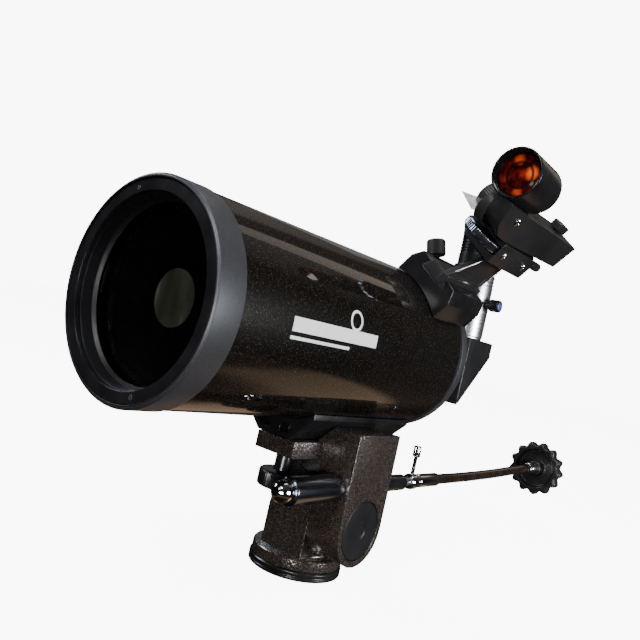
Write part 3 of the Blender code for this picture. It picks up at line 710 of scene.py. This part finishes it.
class TELESCOPE_OT_front(Operator):
    """The front cell and the retaining ring with its two spanner holes, each a steel rim around a
    near-black disc of painted shade
    """
    bl_idname = "telescope.front"
    bl_label = "Front cell"

    def execute(self, context):
        cell = [
            (52.1, 24.0), (52.1, 16.5), (CELL_RADIUS, 16.5), (CELL_RADIUS, 1.2), (53.4, 0.0),
            (52.3, 0.0), (52.3, 3.8), (46.0, 3.8), (45.2, 9.5), (43.8, 11.3), (43.8, 11.8),
            (45.2, 11.8), (45.2, 24.0),
        ]
        steps = shape_settings().round_steps
        place_piece(spun("front_cell_body", RIM, Y_AXIS, cell, steps, 0.3), "front_cell")
        plate = [(52.0, 3.5), (52.0, 0.8), (46.3, 0.8), (46.3, 3.5)]
        place_piece(spun("retaining_ring_body", RIM, Y_AXIS, plate, steps, 0.25), "retaining_ring")
        for i, angle in enumerate((SPANNER_TILT, SPANNER_TILT + pi)):
            place = spot(49.0 * cos(angle), 0.8, 49.0 * sin(angle))
            rim = [(1.25, 0.05), (1.25, -0.06), (1.05, -0.08), (1.05, 0.05)]
            cup = spun(f"spanner_hole_{i + 1}", place, Y_AXIS, rim, 24, 0.03)
            add_piece(cup, "head", "steel")
            # Painted shade: a near-black disc on the ring's face stands for the shade inside each hole.
            floor = [(0.0, 0.30), (1.04, 0.30), (1.04, -0.03), (0.0, -0.03)]
            add_piece(spun(f"spanner_hole_shade_{i + 1}", place, Y_AXIS, floor, 24, 0.0), "head", "rubber")
        return {"FINISHED"}


def curved_disc(radii, front, back, curve):
    """Both faces of a disc that is hollow towards the front, back face first."""
    outline = [(r, back - r * r / curve) for r in radii]
    return outline + [(r, front - r * r / curve) for r in reversed(radii)]


class TELESCOPE_OT_optics(Operator):
    """The corrector, the spot on its back, and the main mirror"""
    bl_idname = "telescope.optics"
    bl_label = "Optics"

    def execute(self, context):
        back = LENS_FRONT + LENS_THICKNESS
        radii = [LENS_RADIUS * i / 9 for i in range(10)]
        lens = curved_disc(radii, LENS_FRONT, back, 2 * LENS_CURVE)
        place_piece(spun("corrector_glass", RIM, Y_AXIS, lens, 128, 0.0), "corrector_lens")
        radii = [2.5 * i for i in range(7)]
        coat = curved_disc(radii, back + 0.3, back + 0.9, 2 * LENS_CURVE)
        place_piece(spun("secondary_coat", RIM, Y_AXIS, coat, 96, 0.0), "secondary_spot", "spot_painted_glow")
        mirror = [(48.0, 203.7), (48.0, 186.7)]
        mirror += [(r, 191.0 - r * r / 540.0) for r in (44.0, 38.0, 32.0, 26.0, 20.0, 16.4)]
        mirror += [(16.4, 203.7)]
        place_piece(spun("main_mirror", RIM, Y_AXIS, mirror, 128, 0.0), "primary_mirror")
        carried_over("corrector_lock_ring", "baffle_tube", "mirror_carrier")
        return {"FINISHED"}


class TELESCOPE_OT_back(Operator):
    """The rear cell, collimation screws, visual back, its screw, and the focus knob"""
    bl_idname = "telescope.back"
    bl_label = "Back"

    def execute(self, context):
        settings = shape_settings()
        cell = [
            (17.3, BACK_FACE - 0.5), (50.0, BACK_FACE - 0.5), (50.8, BACK_FACE), (53.4, BACK_FACE),
            (CELL_RADIUS, BACK_FACE - 1.2), (CELL_RADIUS, 227.3), (52.1, 227.3), (52.1, 219.0),
            (49.5, 219.0), (49.5, 229.5), (17.3, 229.5),
        ]
        place_piece(spun("rear_cell_body", RIM, Y_AXIS, cell, settings.round_steps, 0.3), "rear_cell")
        for i in range(3):
            for j, spread in enumerate((-8.0, 8.0)):
                angle = radians(90 + 120 * i + spread)
                place = spot(42.5 * cos(angle), BACK_FACE - 0.5, 42.5 * sin(angle))
                head = [
                    (0.0, 0.9), (1.3, 0.9), (1.3, 2.0), (2.6, 2.0), (2.8, 1.7), (2.8, 0.02), (0.0, 0.02),
                ]
                piece = spun(f"collimation_screw_{i + 1}_{j + 1}", place, Y_AXIS, head, 30, 0.15)
                add_piece(piece, "head", "black_metal")
        back = [
            (19.0, 262.0), (20.0, 261.0), (20.0, 257.5), (19.4, 256.9), (19.4, 256.3), (20.0, 255.7),
            (20.0, 240.0), (22.8, 239.2), (22.8, 235.3), (16.2, 235.3), (16.2, 262.0),
        ]
        place_piece(spun("visual_back_body", RIM, Y_AXIS, back, 96, 0.25), "visual_back")
        screw_place = spot(0.0, 252.0, 0.0)
        screw = knurled_screw("back_screw_body", screw_place, Z_AXIS, 16.6, 21.5, 30.0, 4.5)
        place_piece(screw, "visual_back_thumbscrew")
        low, high = box("focus_knob")
        place = (low + high) / 2
        half = (high.y - low.y) / 2 / MM
        wide = (high.x - low.x) / 2 / MM
        knob = [
            (0.0, half - 0.8), (wide - 3.6, half - 0.8), (wide - 2.9, half), (wide - 1.0, half),
            (wide, half - 1.2), (wide, half - 2.4), (wide, 0.0), (wide, 3.0 - half),
            (wide, 1.6 - half), (wide - 0.9, -half), (0.0, -half),
        ]
        carve = flutes(28, 0.9, 2.2 - half, half - 1.8, wide - 0.8)
        place_piece(spun("focus_knob_body", place, Y_AXIS, knob, 168, 0.3, carve), "focus_knob")
        carried_over("focus_shaft")
        return {"FINISHED"}


def knurled_screw(name, place, axis, tip, seat, top, head):
    """A thumbscrew: a shank to the tip and a scalloped head from seat to top."""
    count = shape_settings().knurl_count
    profile = [
        (0.0, top - 0.5), (head - 1.6, top - 0.5), (head - 1.0, top), (head - 0.4, top),
        (head, top - 0.7), (head, (seat + top) / 2), (head, seat + 0.8), (head - 0.5, seat),
        (1.5, seat), (1.5, tip + 0.5), (1.0, tip), (0.0, tip),
    ]
    carve = flutes(count, 0.32, seat + 0.9, top - 0.8, head - 0.4)
    return spun(name, place, axis, profile, count * 6, 0.15, carve)


# ------------------------------------------------------------------ diagonal, eyepiece
class TELESCOPE_OT_diagonal(Operator):
    """The star diagonal with its nosepiece, cover and cover screws"""
    bl_idname = "telescope.diagonal"
    bl_label = "Diagonal"

    def execute(self, context):
        nose = [
            (20.0, 307.5), (20.0, 304.4), (19.4, 303.8), (15.8, 303.5), (15.8, 268.0), (15.4, 267.0),
            (15.4, 262.8), (15.8, 261.9), (15.8, 244.4), (15.2, 244.0), (14.2, 244.0), (14.2, 307.5),
        ]
        place_piece(spun("nosepiece_body", RIM, Y_AXIS, nose, 96, 0.2), "diagonal_nosepiece")
        refined("diagonal_housing", 0.8)
        refined("diagonal_cover", 0.6)
        carried_over("diagonal_mirror")
        low, high = box("diagonal_cover")
        out = Vector((0.0, 1.0, -1.0)).normalized()
        slope = Vector((0.0, 1.0, 1.0)).normalized()
        center = (low + high) / 2
        inset = 4.0 * MM
        half = (high.x - low.x) / 2 - inset
        reach = (high - low).yz.length / 2 - 7.5 * MM
        lift = 1.25 * MM
        for i, (side, end) in enumerate(((1, 1), (1, -1), (-1, 1), (-1, -1))):
            place = center + X_AXIS * half * side + slope * reach * end + out * lift
            head = [(0.0, 0.35), (0.5, 0.35), (0.9, 1.0), (1.7, 0.55), (2.0, 0.0), (0.0, 0.0)]
            piece = spun(f"cover_screw_{i + 1}", place, out, head, 24, 0.1)
            add_piece(piece, "diagonal", "steel")
        return {"FINISHED"}


class TELESCOPE_OT_eyepiece(Operator):
    """The silver eyepiece holder, its screw, and the eyepiece"""
    bl_idname = "telescope.eyepiece"
    bl_label = "Eyepiece"

    def execute(self, context):
        place = spot(0.0, EYEPIECE_Y, 0.0)
        holder = [(17.4, 75.0), (18.0, 74.4)]
        for height in (72.4, 69.6, 66.8):
            holder += [(18.0, height), (17.35, height - 0.5), (17.35, height - 0.9), (18.0, height - 1.4)]
        holder += [(18.0, 23.2), (17.5, 22.6), (17.5, 21.3), (16.2, 21.3), (16.2, 75.0)]
        place_piece(spun("holder_body", place, Z_AXIS, holder, 128, 0.15), "eyepiece_holder")
        screw_place = spot(0.0, EYEPIECE_Y, 51.0)
        screw = knurled_screw("holder_screw_body", screw_place, X_AXIS, 16.5, 20.8, 29.3, 5.0)
        place_piece(screw, "eyepiece_thumbscrew")
        inlay = [(0.0, 29.25), (3.2, 29.25), (3.6, 28.85), (3.6, 28.0), (0.0, 28.0)]
        face = spun("holder_screw_inlay", screw_place, X_AXIS, inlay, 48, 0.1)
        add_piece(face, "eyepiece_screw", "steel", "blued_steel")
        barrel = [(15.8, 75.0), (15.8, 66.0), (15.4, 65.4), (15.4, 60.2), (15.8, 59.6),
                  (15.8, 47.4), (15.4, 47.0), (14.3, 47.0), (14.3, 75.0)]
        place_piece(spun("barrel_body", place, Z_AXIS, barrel, 96, 0.15), "eyepiece_barrel")
        body = [(12.4, 110.0), (12.4, 106.4), (14.6, 106.2), (15.0, 105.6)]
        for height in (101.0, 98.6, 96.2, 93.8, 91.4):
            body += [(15.0, height), (14.5, height - 0.4), (14.5, height - 1.0), (15.0, height - 1.4)]
        body += [(15.0, 81.0), (17.0, 79.6), (17.0, 75.4), (10.5, 75.4), (10.5, 110.0)]
        place_piece(spun("eyepiece_shell", place, Z_AXIS, body, 128, 0.2), "eyepiece_body")
        cup = [
            (15.6, 116.0), (16.2, 115.4), (15.9, 113.0), (15.4, 110.0), (15.3, 106.7), (12.8, 106.7),
            (12.8, 110.6), (13.4, 114.0), (14.4, 116.0),
        ]
        place_piece(spun("eyecup_body", place, Z_AXIS, cup, 96, 0.35), "eyecup")
        dome = [(0.0, 108.0), (4.0, 107.8), (8.0, 107.2), (10.2, 106.6), (10.2, 102.0), (0.0, 102.0)]
        place_piece(spun("eye_lens_glass", place, Z_AXIS, dome, 64, 0.0), "eye_lens")
        carried_over("field_lens")
        return {"FINISHED"}


# ------------------------------------------------------------------ finder
class TELESCOPE_OT_shoe(Operator):
    """The finder's shoe and its knurled screw"""
    bl_idname = "telescope.shoe"
    bl_label = "Finder shoe"

    def execute(self, context):
        refined("finder_shoe", 0.5)
        place = sight_spot(*THUMB_PLACE)
        knob = [
            (0.0, 5.3), (4.2, 5.3), (4.9, 5.7), (5.7, 5.7), (6.35, 4.9), (6.35, 0.0),
            (6.35, -4.2), (5.9, -4.8), (4.2, -5.4), (2.0, -5.4), (2.0, -13.6), (0.0, -13.6),
        ]
        carve = flutes(36, 0.3, -4.3, 4.95, 6.0)
        place_piece(spun("shoe_screw_body", place, THUMB_AXIS, knob, 216, 0.25, carve), "shoe_thumbscrew")
        return {"FINISHED"}


def painted_edge_highlight(name, start, end):
    """A thin round silver strip along an edge of the finder's arm: a painted highlight."""
    near, far = (sight_spot(ARM_FLANK, *point) for point in (start, end))
    reach = (far - near).length / MM
    profile = [(0.0, reach), (0.4, reach), (0.4, 0.0), (0.0, 0.0)]
    return spun(name, near, (far - near).normalized(), profile, 16, 0.1)


class TELESCOPE_OT_bracket(Operator):
    """The finder's arm, base block, base screws and sideways adjusting wheel"""
    bl_idname = "telescope.bracket"
    bl_label = "Finder bracket"

    def execute(self, context):
        refined("finder_arm", 0.5)
        # Painted highlights: silver strips stand for the bright lines along the arm's edges.
        for i, ends in enumerate(ARM_HIGHLIGHT_EDGES):
            highlight_strip = painted_edge_highlight(f"arm_painted_highlight_{i + 1}", *ends)
            add_piece(highlight_strip, "finder_bracket", "black_plastic", "satin_silver")
        refined("finder_base_block", 0.5)
        wheel = [
            (0.0, 2.4), (9.0, 2.4), (9.8, 3.0), (14.4, 3.0), (15.3, 2.1), (15.3, 0.0), (15.3, -2.1),
            (14.4, -3.0), (0.0, -3.0),
        ]
        carve = flutes(60, 0.25, -2.1, 2.1, 14.8)
        place = sight_spot(*WHEEL_PLACE)
        piece = spun("wheel_body", place, SIGHT_UP, wheel, 300, 0.3, carve)
        place_piece(piece, "azimuth_wheel", "gunmetal")
        pin = [
            (0.0, 15.0), (2.6, 15.0), (3.1, 14.5), (3.1, 9.0), (3.1, 3.0), (2.6, 2.5), (2.6, -1.0),
            (0.0, -1.0),
        ]
        carve = flutes(20, 0.25, 3.0, 14.5, 2.9)
        piece = spun("base_adjuster", sight_spot(9.9, 248.5, 107.4), Y_AXIS, pin, 120, 0.2, carve)
        add_piece(piece, "finder_base", "black_plastic")
        for i, along in enumerate((206.0, 238.5)):
            screw = cross_screw(f"base_screw_{i + 1}", sight_spot(13.5, along, 103.9))
            add_piece(screw, "finder_base", "chrome")
        return {"FINISHED"}


def cross_screw(name, place, radius=2.4):
    """A small domed screw head with a dished middle, standing on a side face."""
    head = [
        (0.0, 0.35), (radius * 0.30, 0.42), (radius * 0.42, 1.05), (radius * 0.75, 0.95),
        (radius, 0.35), (radius, 0.02), (0.0, 0.02),
    ]
    return spun(name, place, SIGHT_SIDE, head, 32, 0.12)


class TELESCOPE_OT_sight(Operator):
    """The finder's body, battery drum, dial, pull tab, emitter housing and screws"""
    bl_idname = "telescope.sight"
    bl_label = "Finder body"

    def execute(self, context):
        refined("finder_body", 0.9)
        refined("led_housing", 0.2, 2)
        refined("battery_housing", 0.35)
        refined("battery_pull_tab", 0.05, 1)
        carried_over("coin_cell")
        dial = [
            (0.0, -8.9), (8.2, -8.9), (9.0, -9.6), (9.0, -12.0), (9.0, -14.8), (8.2, -15.5),
            (6.8, -15.5), (6.4, -15.1), (0.0, -15.1),
        ]
        carve = flutes(40, 0.22, -14.9, -9.5, 8.6)
        piece = spun("dial_body", sight_spot(*DIAL_PLACE), SIGHT_SIDE, dial, 240, 0.2, carve)
        place_piece(piece, "brightness_dial")
        knob = [
            (0.0, 3.0), (4.9, 3.0), (5.5, 2.4), (5.5, 0.0), (5.5, -2.4), (4.9, -3.0), (0.0, -3.0),
        ]
        place = sight_spot(0.0, SIGHT_KNOB_Y, 107.5)
        carve = flutes(24, 0.4, -2.5, 2.5, 5.2)
        place_piece(spun("tilt_knob_body", place, SIGHT_UP, knob, 144, 0.2, carve), "altitude_knob")
        add_piece(cross_screw("body_screw", sight_spot(13.0, 184.7, 125.6), 2.6), "finder", "chrome")
        return {"FINISHED"}


class TELESCOPE_OT_sight_tube(Operator):
    """The finder's short lens tube and its coated lens"""
    bl_idname = "telescope.sight_tube"
    bl_label = "Finder lens tube"

    def execute(self, context):
        place = sight_spot(0.0, 0.0, SIGHT_TUBE_UP)
        tube = [
            (14.6, 195.5), (15.0, 195.1), (15.0, 162.6), (14.4, 162.0), (13.9, 162.0),
            (13.9, 165.4), (13.4, 165.9), (13.4, 195.5),
        ]
        place_piece(spun("sight_tube_body", place, Y_AXIS, tube, 128, 0.2), "finder_lens_tube")
        radii = [13.1 * i / 6 for i in range(7)]
        lens = curved_disc(radii, 168.0, 171.0, 172.0)
        place_piece(spun("sight_lens", place, Y_AXIS, lens, 96, 0.0), "finder_lens")
        return {"FINISHED"}


# ------------------------------------------------------------------ saddle, worm, cable
class TELESCOPE_OT_saddle(Operator):
    """The tube's foot, the saddle casting and the plate over the worm wheel"""
    bl_idname = "telescope.saddle"
    bl_label = "Foot and saddle"

    def execute(self, context):
        refined("mounting_foot", 0.6)
        refined("saddle_casting", 1.0)
        carried_over("foot_screw_1", "foot_screw_2")
        place = spot(0.0, AXLE_Y, AXLE_Z)
        cover = [
            (0.0, 42.6), (5.0, 42.6), (5.6, 43.1), (17.4, 43.1), (18.4, 42.1), (18.4, 40.3), (0.0, 40.3),
        ]
        place_piece(spun("cover_body", place, X_AXIS, cover, 96, 0.2), "wheel_cover")
        return {"FINISHED"}


class TELESCOPE_OT_clamp(Operator):
    """The knurled knob that holds the tube's foot on the saddle"""
    bl_idname = "telescope.clamp"
    bl_label = "Clamp knob"

    def execute(self, context):
        profile = [
            (0.0, -58.0), (2.6, -58.0), (3.0, -58.6), (3.0, -75.3), (5.2, -75.3), (5.2, -87.0),
            (12.4, -87.4), (13.5, -88.4), (13.5, -92.5), (13.5, -96.6), (12.6, -97.5), (0.0, -97.5),
        ]
        carve = flutes(54, 0.45, -96.5, -88.4, 13.1)
        place = spot(0.0, 134.0, 0.0)
        piece = spun("clamp_body", place, Z_AXIS, profile, 324, 0.25, carve)
        place_piece(piece, "clamp_knob")
        return {"FINISHED"}


class TELESCOPE_OT_worm(Operator):
    """The worm's housing, bush, shaft, chrome end, collar, screw and ferrule"""
    bl_idname = "telescope.worm"
    bl_label = "Worm drive"

    def execute(self, context):
        place = spot(WORM_X, 0.0, WORM_Z)
        cap = [
            (0.0, 100.0), (6.2, 100.0), (6.2, 96.5), (5.6, 94.4), (4.4, 92.6), (2.4, 91.3), (0.0, 91.0),
        ]
        place_piece(spun("end_cap_body", place, Y_AXIS, cap, 64, 0.5), "shaft_end_cap")
        housing = [(7.0, 144.7), (8.0, 143.8), (8.0, 101.4), (7.0, 100.3), (4.4, 100.3), (4.4, 144.7)]
        place_piece(spun("housing_body", place, Y_AXIS, housing, 96, 0.4), "worm_housing", "gunmetal")
        bush = [(5.0, 222.0), (5.3, 221.6), (5.3, 190.3), (4.4, 190.3), (4.4, 222.0)]
        place_piece(spun("bush_body", place, Y_AXIS, bush, 64, 0.2), "worm_bush")
        collar = [
            (4.2, 239.7), (5.0, 239.3), (5.4, 238.4), (5.4, 233.0), (5.0, 232.1), (4.2, 231.7),
            (3.3, 231.7), (3.3, 239.7),
        ]
        place_piece(spun("collar_body", place, Y_AXIS, collar, 64, 0.3), "cable_collar")
        screw = [
            (0.0, 24.6), (1.6, 24.6), (2.0, 25.0), (2.4, 24.9), (2.75, 24.3), (2.75, 21.0),
            (2.75, 18.0), (2.3, 17.4), (1.3, 17.0), (1.3, 3.4), (0.0, 3.4),
        ]
        carve = flutes(20, 0.25, 18.0, 24.4, 2.6)
        screw_place = spot(WORM_X, 235.7, WORM_Z)
        piece = spun("collar_screw_body", screw_place, Z_AXIS, screw, 120, 0.15, carve)
        place_piece(piece, "collar_thumbscrew")
        ferrule = [
            (0.0, 272.0), (4.2, 272.0), (4.75, 271.4), (4.75, 243.6), (4.3, 243.0), (4.3, 242.2),
            (4.75, 241.6), (4.75, 240.6), (4.2, 240.0), (0.0, 240.0),
        ]
        place_piece(spun("ferrule_body", place, Y_AXIS, ferrule, 64, 0.2), "cable_ferrule")
        carried_over("worm_shaft", "worm_wheel")
        return {"FINISHED"}


class TELESCOPE_OT_cable(Operator):
    """The flexible slow-motion cable and the ferrule on its far end"""
    bl_idname = "telescope.cable"
    bl_label = "Control cable"

    def execute(self, context):
        curve = bpy.data.curves.new("control_cable", "CURVE")
        curve.dimensions = "3D"
        curve.bevel_depth = CABLE_DIAMETER / 2
        curve.bevel_resolution = 6
        curve.resolution_u = 8
        curve.use_fill_caps = True
        spline = curve.splines.new("BEZIER")
        spline.bezier_points.add(len(CABLE_ROUTE) - 1)
        for point, place in zip(spline.bezier_points, CABLE_ROUTE):
            point.co = spot(*place)
            point.handle_left_type = point.handle_right_type = "AUTO"
        cable = bpy.data.objects.new("control_cable", curve)
        bpy.context.scene.collection.objects.link(cable)
        place_piece(cable, "slow_motion_cable")
        low, high = box("knob_ferrule")
        place = spot(KNOB_X, 0.0, KNOB_Z)
        start, end = (low.y - RIM.y) / MM, (high.y - RIM.y) / MM
        profile = [
            (0.0, end), (4.75, end), (4.75, end - 12.0), (4.4, end - 12.5), (4.4, end - 13.2),
            (4.75, end - 13.7), (4.75, start + 0.6), (4.2, start), (0.0, start),
        ]
        ferrule = place_piece(spun("knob_ferrule_body", place, Y_AXIS, profile, 64, 0.2), "knob_ferrule")
        return {"FINISHED"}


class TELESCOPE_OT_knob(Operator):
    """The dished star knob on the cable's end"""
    bl_idname = "telescope.knob"
    bl_label = "Star knob"
    lobes = 13

    def execute(self, context):
        low, high = box("control_knob")
        place = (low + high) / 2
        half = (high.y - low.y) / 2 / MM
        outer = 22.6
        profile = [
            (0.0, -half), (5.6, -half), (6.8, 0.9 - half), (7.2, 6.2 - half), (8.4, 6.8 - half),
            (15.6, 6.8 - half), (16.8, 6.0 - half), (17.3, 0.8 - half), (17.9, -half),
            (20.6, -half), (22.1, 1.0 - half), (outer, 3.2 - half), (outer, 0.0), (outer, half - 3.2),
            (22.0, half - 1.0), (20.4, half), (0.0, half),
        ]
        piece = spun(
            "star_knob_body", place, -Y_AXIS, [(r, -h) for r, h in profile], self.lobes * 16, 0.9,
            self.shape_lobes,
        )
        place_piece(piece, "control_knob")
        return {"FINISHED"}

    def shape_lobes(self, shape):
        start, outer, swing = 18.2, 22.6, 1.7
        for vert in shape.verts:
            reach = Vector((vert.co.x, vert.co.y)).length
            share = (reach / MM - start) / (outer - start)
            if share > 0.0:
                angle = Vector((vert.co.x, vert.co.y)).angle_signed(Vector((1, 0)))
                grow = 1 + swing * share * cos(self.lobes * angle) * MM / reach
                vert.co.x *= grow
                vert.co.y *= grow


# ------------------------------------------------------------------ base
class TELESCOPE_OT_mount(Operator):
    """The fork column with its turntable, the altitude axle and the base"""
    bl_idname = "telescope.mount"
    bl_label = "Mount head"

    def execute(self, context):
        refined("fork_column", 0.8)
        center = spot(0.0, AXLE_Y, 0.0)
        base = [
            (0.0, -138.4), (5.0, -138.4), (5.0, -144.3), (29.2, -144.3), (30.0, -145.1),
            (30.0, -146.6), (29.4, -147.0), (29.4, -147.6), (30.0, -148.0), (30.0, -149.4),
            (29.4, -150.0), (0.0, -150.0),
        ]
        place_piece(spun("base_body", center, Z_AXIS, base, 160, 0.25), "base_disc")
        axle = [
            (0.0, 38.0), (5.0, 38.0), (5.0, -14.3), (9.0, -14.3), (9.0, -18.4), (8.2, -19.2),
            (4.2, -19.2), (3.8, -17.4), (0.0, -17.4),
        ]
        place_piece(spun("axle_body", spot(0.0, AXLE_Y, AXLE_Z), X_AXIS, axle, 96, 0.3), "altitude_axle")
        return {"FINISHED"}


# ------------------------------------------------------------------ stage
# What the gloss reflects, from straight down to straight up, and how much of it is in front.
ROOM_SHADES = [
    (0.0, (0.05, 0.04, 0.03, 1)), (0.13, (0.12, 0.08, 0.06, 1)), (0.17, (0.62, 0.42, 0.28, 1)),
    (0.25, (0.60, 0.41, 0.27, 1)), (0.27, (0.05, 0.04, 0.035, 1)), (0.50, (0.03, 0.03, 0.035, 1)),
    (0.70, (0.05, 0.045, 0.04, 1)), (0.78, (0.16, 0.13, 0.11, 1)), (1.0, (0.30, 0.31, 0.33, 1)),
]
ROOM_FRONT = 0.15
# Each light's place from the telescope's middle, its width and height, its power and its colour.
LIGHTS = {
    "key_light": ((0.35, -1.15, 1.25), 0.55, 0.55, 0.75, (1.0, 1.0, 1.0)),
    "side_light": ((1.45, 0.42, 0.05), 0.50, 0.50, 1.0, (0.95, 0.97, 1.0)),
    "top_light": ((-0.35, 0.35, 1.60), 0.60, 0.60, 0.25, (0.96, 0.98, 1.0)),
    "front_fill": ((0.80, -1.25, -0.10), 0.45, 0.35, 0.80, (1.0, 0.98, 0.97)),
    "left_light": ((-1.15, -0.36, 0.75), 0.40, 0.40, 0.30, (0.82, 0.90, 1.0)),
    "ceiling_band": ((0.10, 0.95, 0.80), 0.20, 0.80, 0.009, (1.0, 0.86, 0.72)),
    "left_rim": ((-0.85, 1.20, 0.50), 0.50, 0.60, 0.006, (0.95, 0.97, 1.0)),
}


class TELESCOPE_OT_stage(Operator):
    """A pale floor, soft lights and the camera"""
    bl_idname = "telescope.stage"
    bl_label = "Stage"

    def execute(self, context):
        settings = context.scene.telescope_stage
        make_floor(settings)
        make_sky(settings)
        for name, (offset, width, height, share, color) in LIGHTS.items():
            soft_light(name, Vector(offset), (width, height), settings.key_power * share, color)
        make_camera()
        return {"FINISHED"}


def make_floor(settings):
    shape = bmesh.new()
    bmesh.ops.create_grid(shape, x_segments=1, y_segments=1, size=6.0)
    bmesh.ops.translate(shape, vec=(0.0, 0.0, SEAT_Z - 0.0002), verts=shape.verts)
    floor = finished("floor", shape)
    paint = Finish("floor_paint", settings.floor_color, 0.6)
    paint.set("Emission Color", (1.0, 1.0, 1.0, 1.0))
    paint.set("Emission Strength", settings.floor_glow)
    floor.data.materials.append(paint.material)
    floor.visible_glossy = False
    floor.visible_diffuse = False
    floor.visible_transmission = False


def make_sky(settings):
    """A white backdrop for the camera around a dim room that lights the telescope."""
    sky = bpy.data.worlds.new("soft_sky")
    sky.use_nodes = True
    nodes = Nodes(sky.node_tree, "Generated")
    height = nodes.node("ShaderNodeSeparateXYZ", {}, {"Vector": nodes.place}, "Z")
    side, depth = (Wire(nodes.tree, height.socket.node.outputs[name]) for name in ("X", "Y"))
    gap = nodes.fade(side, -0.30, -0.22) * (1 - nodes.fade(side, -0.08, 0.02))
    behind = nodes.fade(depth, 0.3, 0.65) * (1 - nodes.fade(side, 0.38, 0.50)) * (1 - gap)
    behind = behind * (1 - ROOM_FRONT) + ROOM_FRONT
    room_color = nodes.ramp(height * 0.5 + 0.5, ROOM_SHADES)
    room = nodes.node("ShaderNodeBackground", {}, {
        "Color": room_color, "Strength": behind * settings.sky_strength,
    })
    backdrop = nodes.node("ShaderNodeBackground", {}, {
        "Color": (1.0, 1.0, 1.0, 1.0), "Strength": settings.backdrop_strength,
    })
    seen = nodes.node("ShaderNodeLightPath", out="Is Camera Ray")
    both = nodes.node("ShaderNodeMixShader", {}, {0: seen, 1: room, 2: backdrop})
    output = nodes.tree.nodes["World Output"]
    nodes.tree.links.new(both.socket, output.inputs["Surface"])
    bpy.context.scene.world = sky


def soft_light(name, offset, size, power, color):
    data = bpy.data.lights.new(name, "AREA")
    data.shape = "RECTANGLE"
    data.size, data.size_y = size
    data.energy = power
    data.color = color
    lamp = bpy.data.objects.new(name, data)
    lamp.location = spot(0.0, 120.0, -20.0) + offset
    lamp.rotation_euler = offset.to_track_quat("Z", "Y").to_euler()
    lamp.visible_camera = False
    bpy.context.scene.collection.objects.link(lamp)


def make_camera():
    data = bpy.data.cameras.new("camera")
    data.lens = CAMERA_LENS
    data.sensor_width = 36.0
    camera = bpy.data.objects.new("camera", data)
    back = CAMERA_BACK.normalized()
    right = CAMERA_UP.cross(back).normalized()
    up = back.cross(right)
    turn = Matrix((right, up, back)).transposed().to_4x4()
    camera.matrix_world = Matrix.Translation(CAMERA_PLACE) @ turn
    bpy.context.scene.collection.objects.link(camera)
    bpy.context.scene.camera = camera


# ------------------------------------------------------------------ panel and run
OPERATORS = (
    TELESCOPE_OT_stage, TELESCOPE_OT_tube, TELESCOPE_OT_front, TELESCOPE_OT_optics,
    TELESCOPE_OT_back, TELESCOPE_OT_diagonal, TELESCOPE_OT_eyepiece, TELESCOPE_OT_shoe,
    TELESCOPE_OT_bracket, TELESCOPE_OT_sight, TELESCOPE_OT_sight_tube, TELESCOPE_OT_saddle,
    TELESCOPE_OT_clamp, TELESCOPE_OT_worm, TELESCOPE_OT_knob, TELESCOPE_OT_cable,
    TELESCOPE_OT_mount,
)


class TELESCOPE_PT_build(Panel):
    """Lists the telescope's pieces and settings in the sidebar"""
    bl_idname = "TELESCOPE_PT_build"
    bl_label = "Maksutov telescope"
    bl_space_type = "VIEW_3D"
    bl_region_type = "UI"
    bl_category = "Telescope"

    def draw(self, context):
        for group in ("telescope_looks", "telescope_shape", "telescope_stage"):
            settings = getattr(context.scene, group)
            column = self.layout.column(heading=group)
            for setting in settings.__annotations__:
                column.prop(settings, setting)
        for operator in OPERATORS:
            self.layout.operator(operator.bl_idname)


GROUPS = {
    "telescope_looks": TelescopeLooks,
    "telescope_shape": TelescopeShape,
    "telescope_stage": StageSettings,
}


def register():
    for cls in (*GROUPS.values(), *OPERATORS, TELESCOPE_PT_build):
        bpy.utils.register_class(cls)
    for name, group in GROUPS.items():
        setattr(bpy.types.Scene, name, PointerProperty(type=group))


def unregister():
    for name in GROUPS:
        delattr(bpy.types.Scene, name)
    for cls in (TELESCOPE_PT_build, *reversed(OPERATORS), *GROUPS.values()):
        bpy.utils.unregister_class(cls)


def main():
    register()
    for operator in OPERATORS:
        group, name = operator.bl_idname.split(".")
        getattr(getattr(bpy.ops, group), name)()
    bpy.context.view_layer.update()


if __name__ == "__main__":
    main()
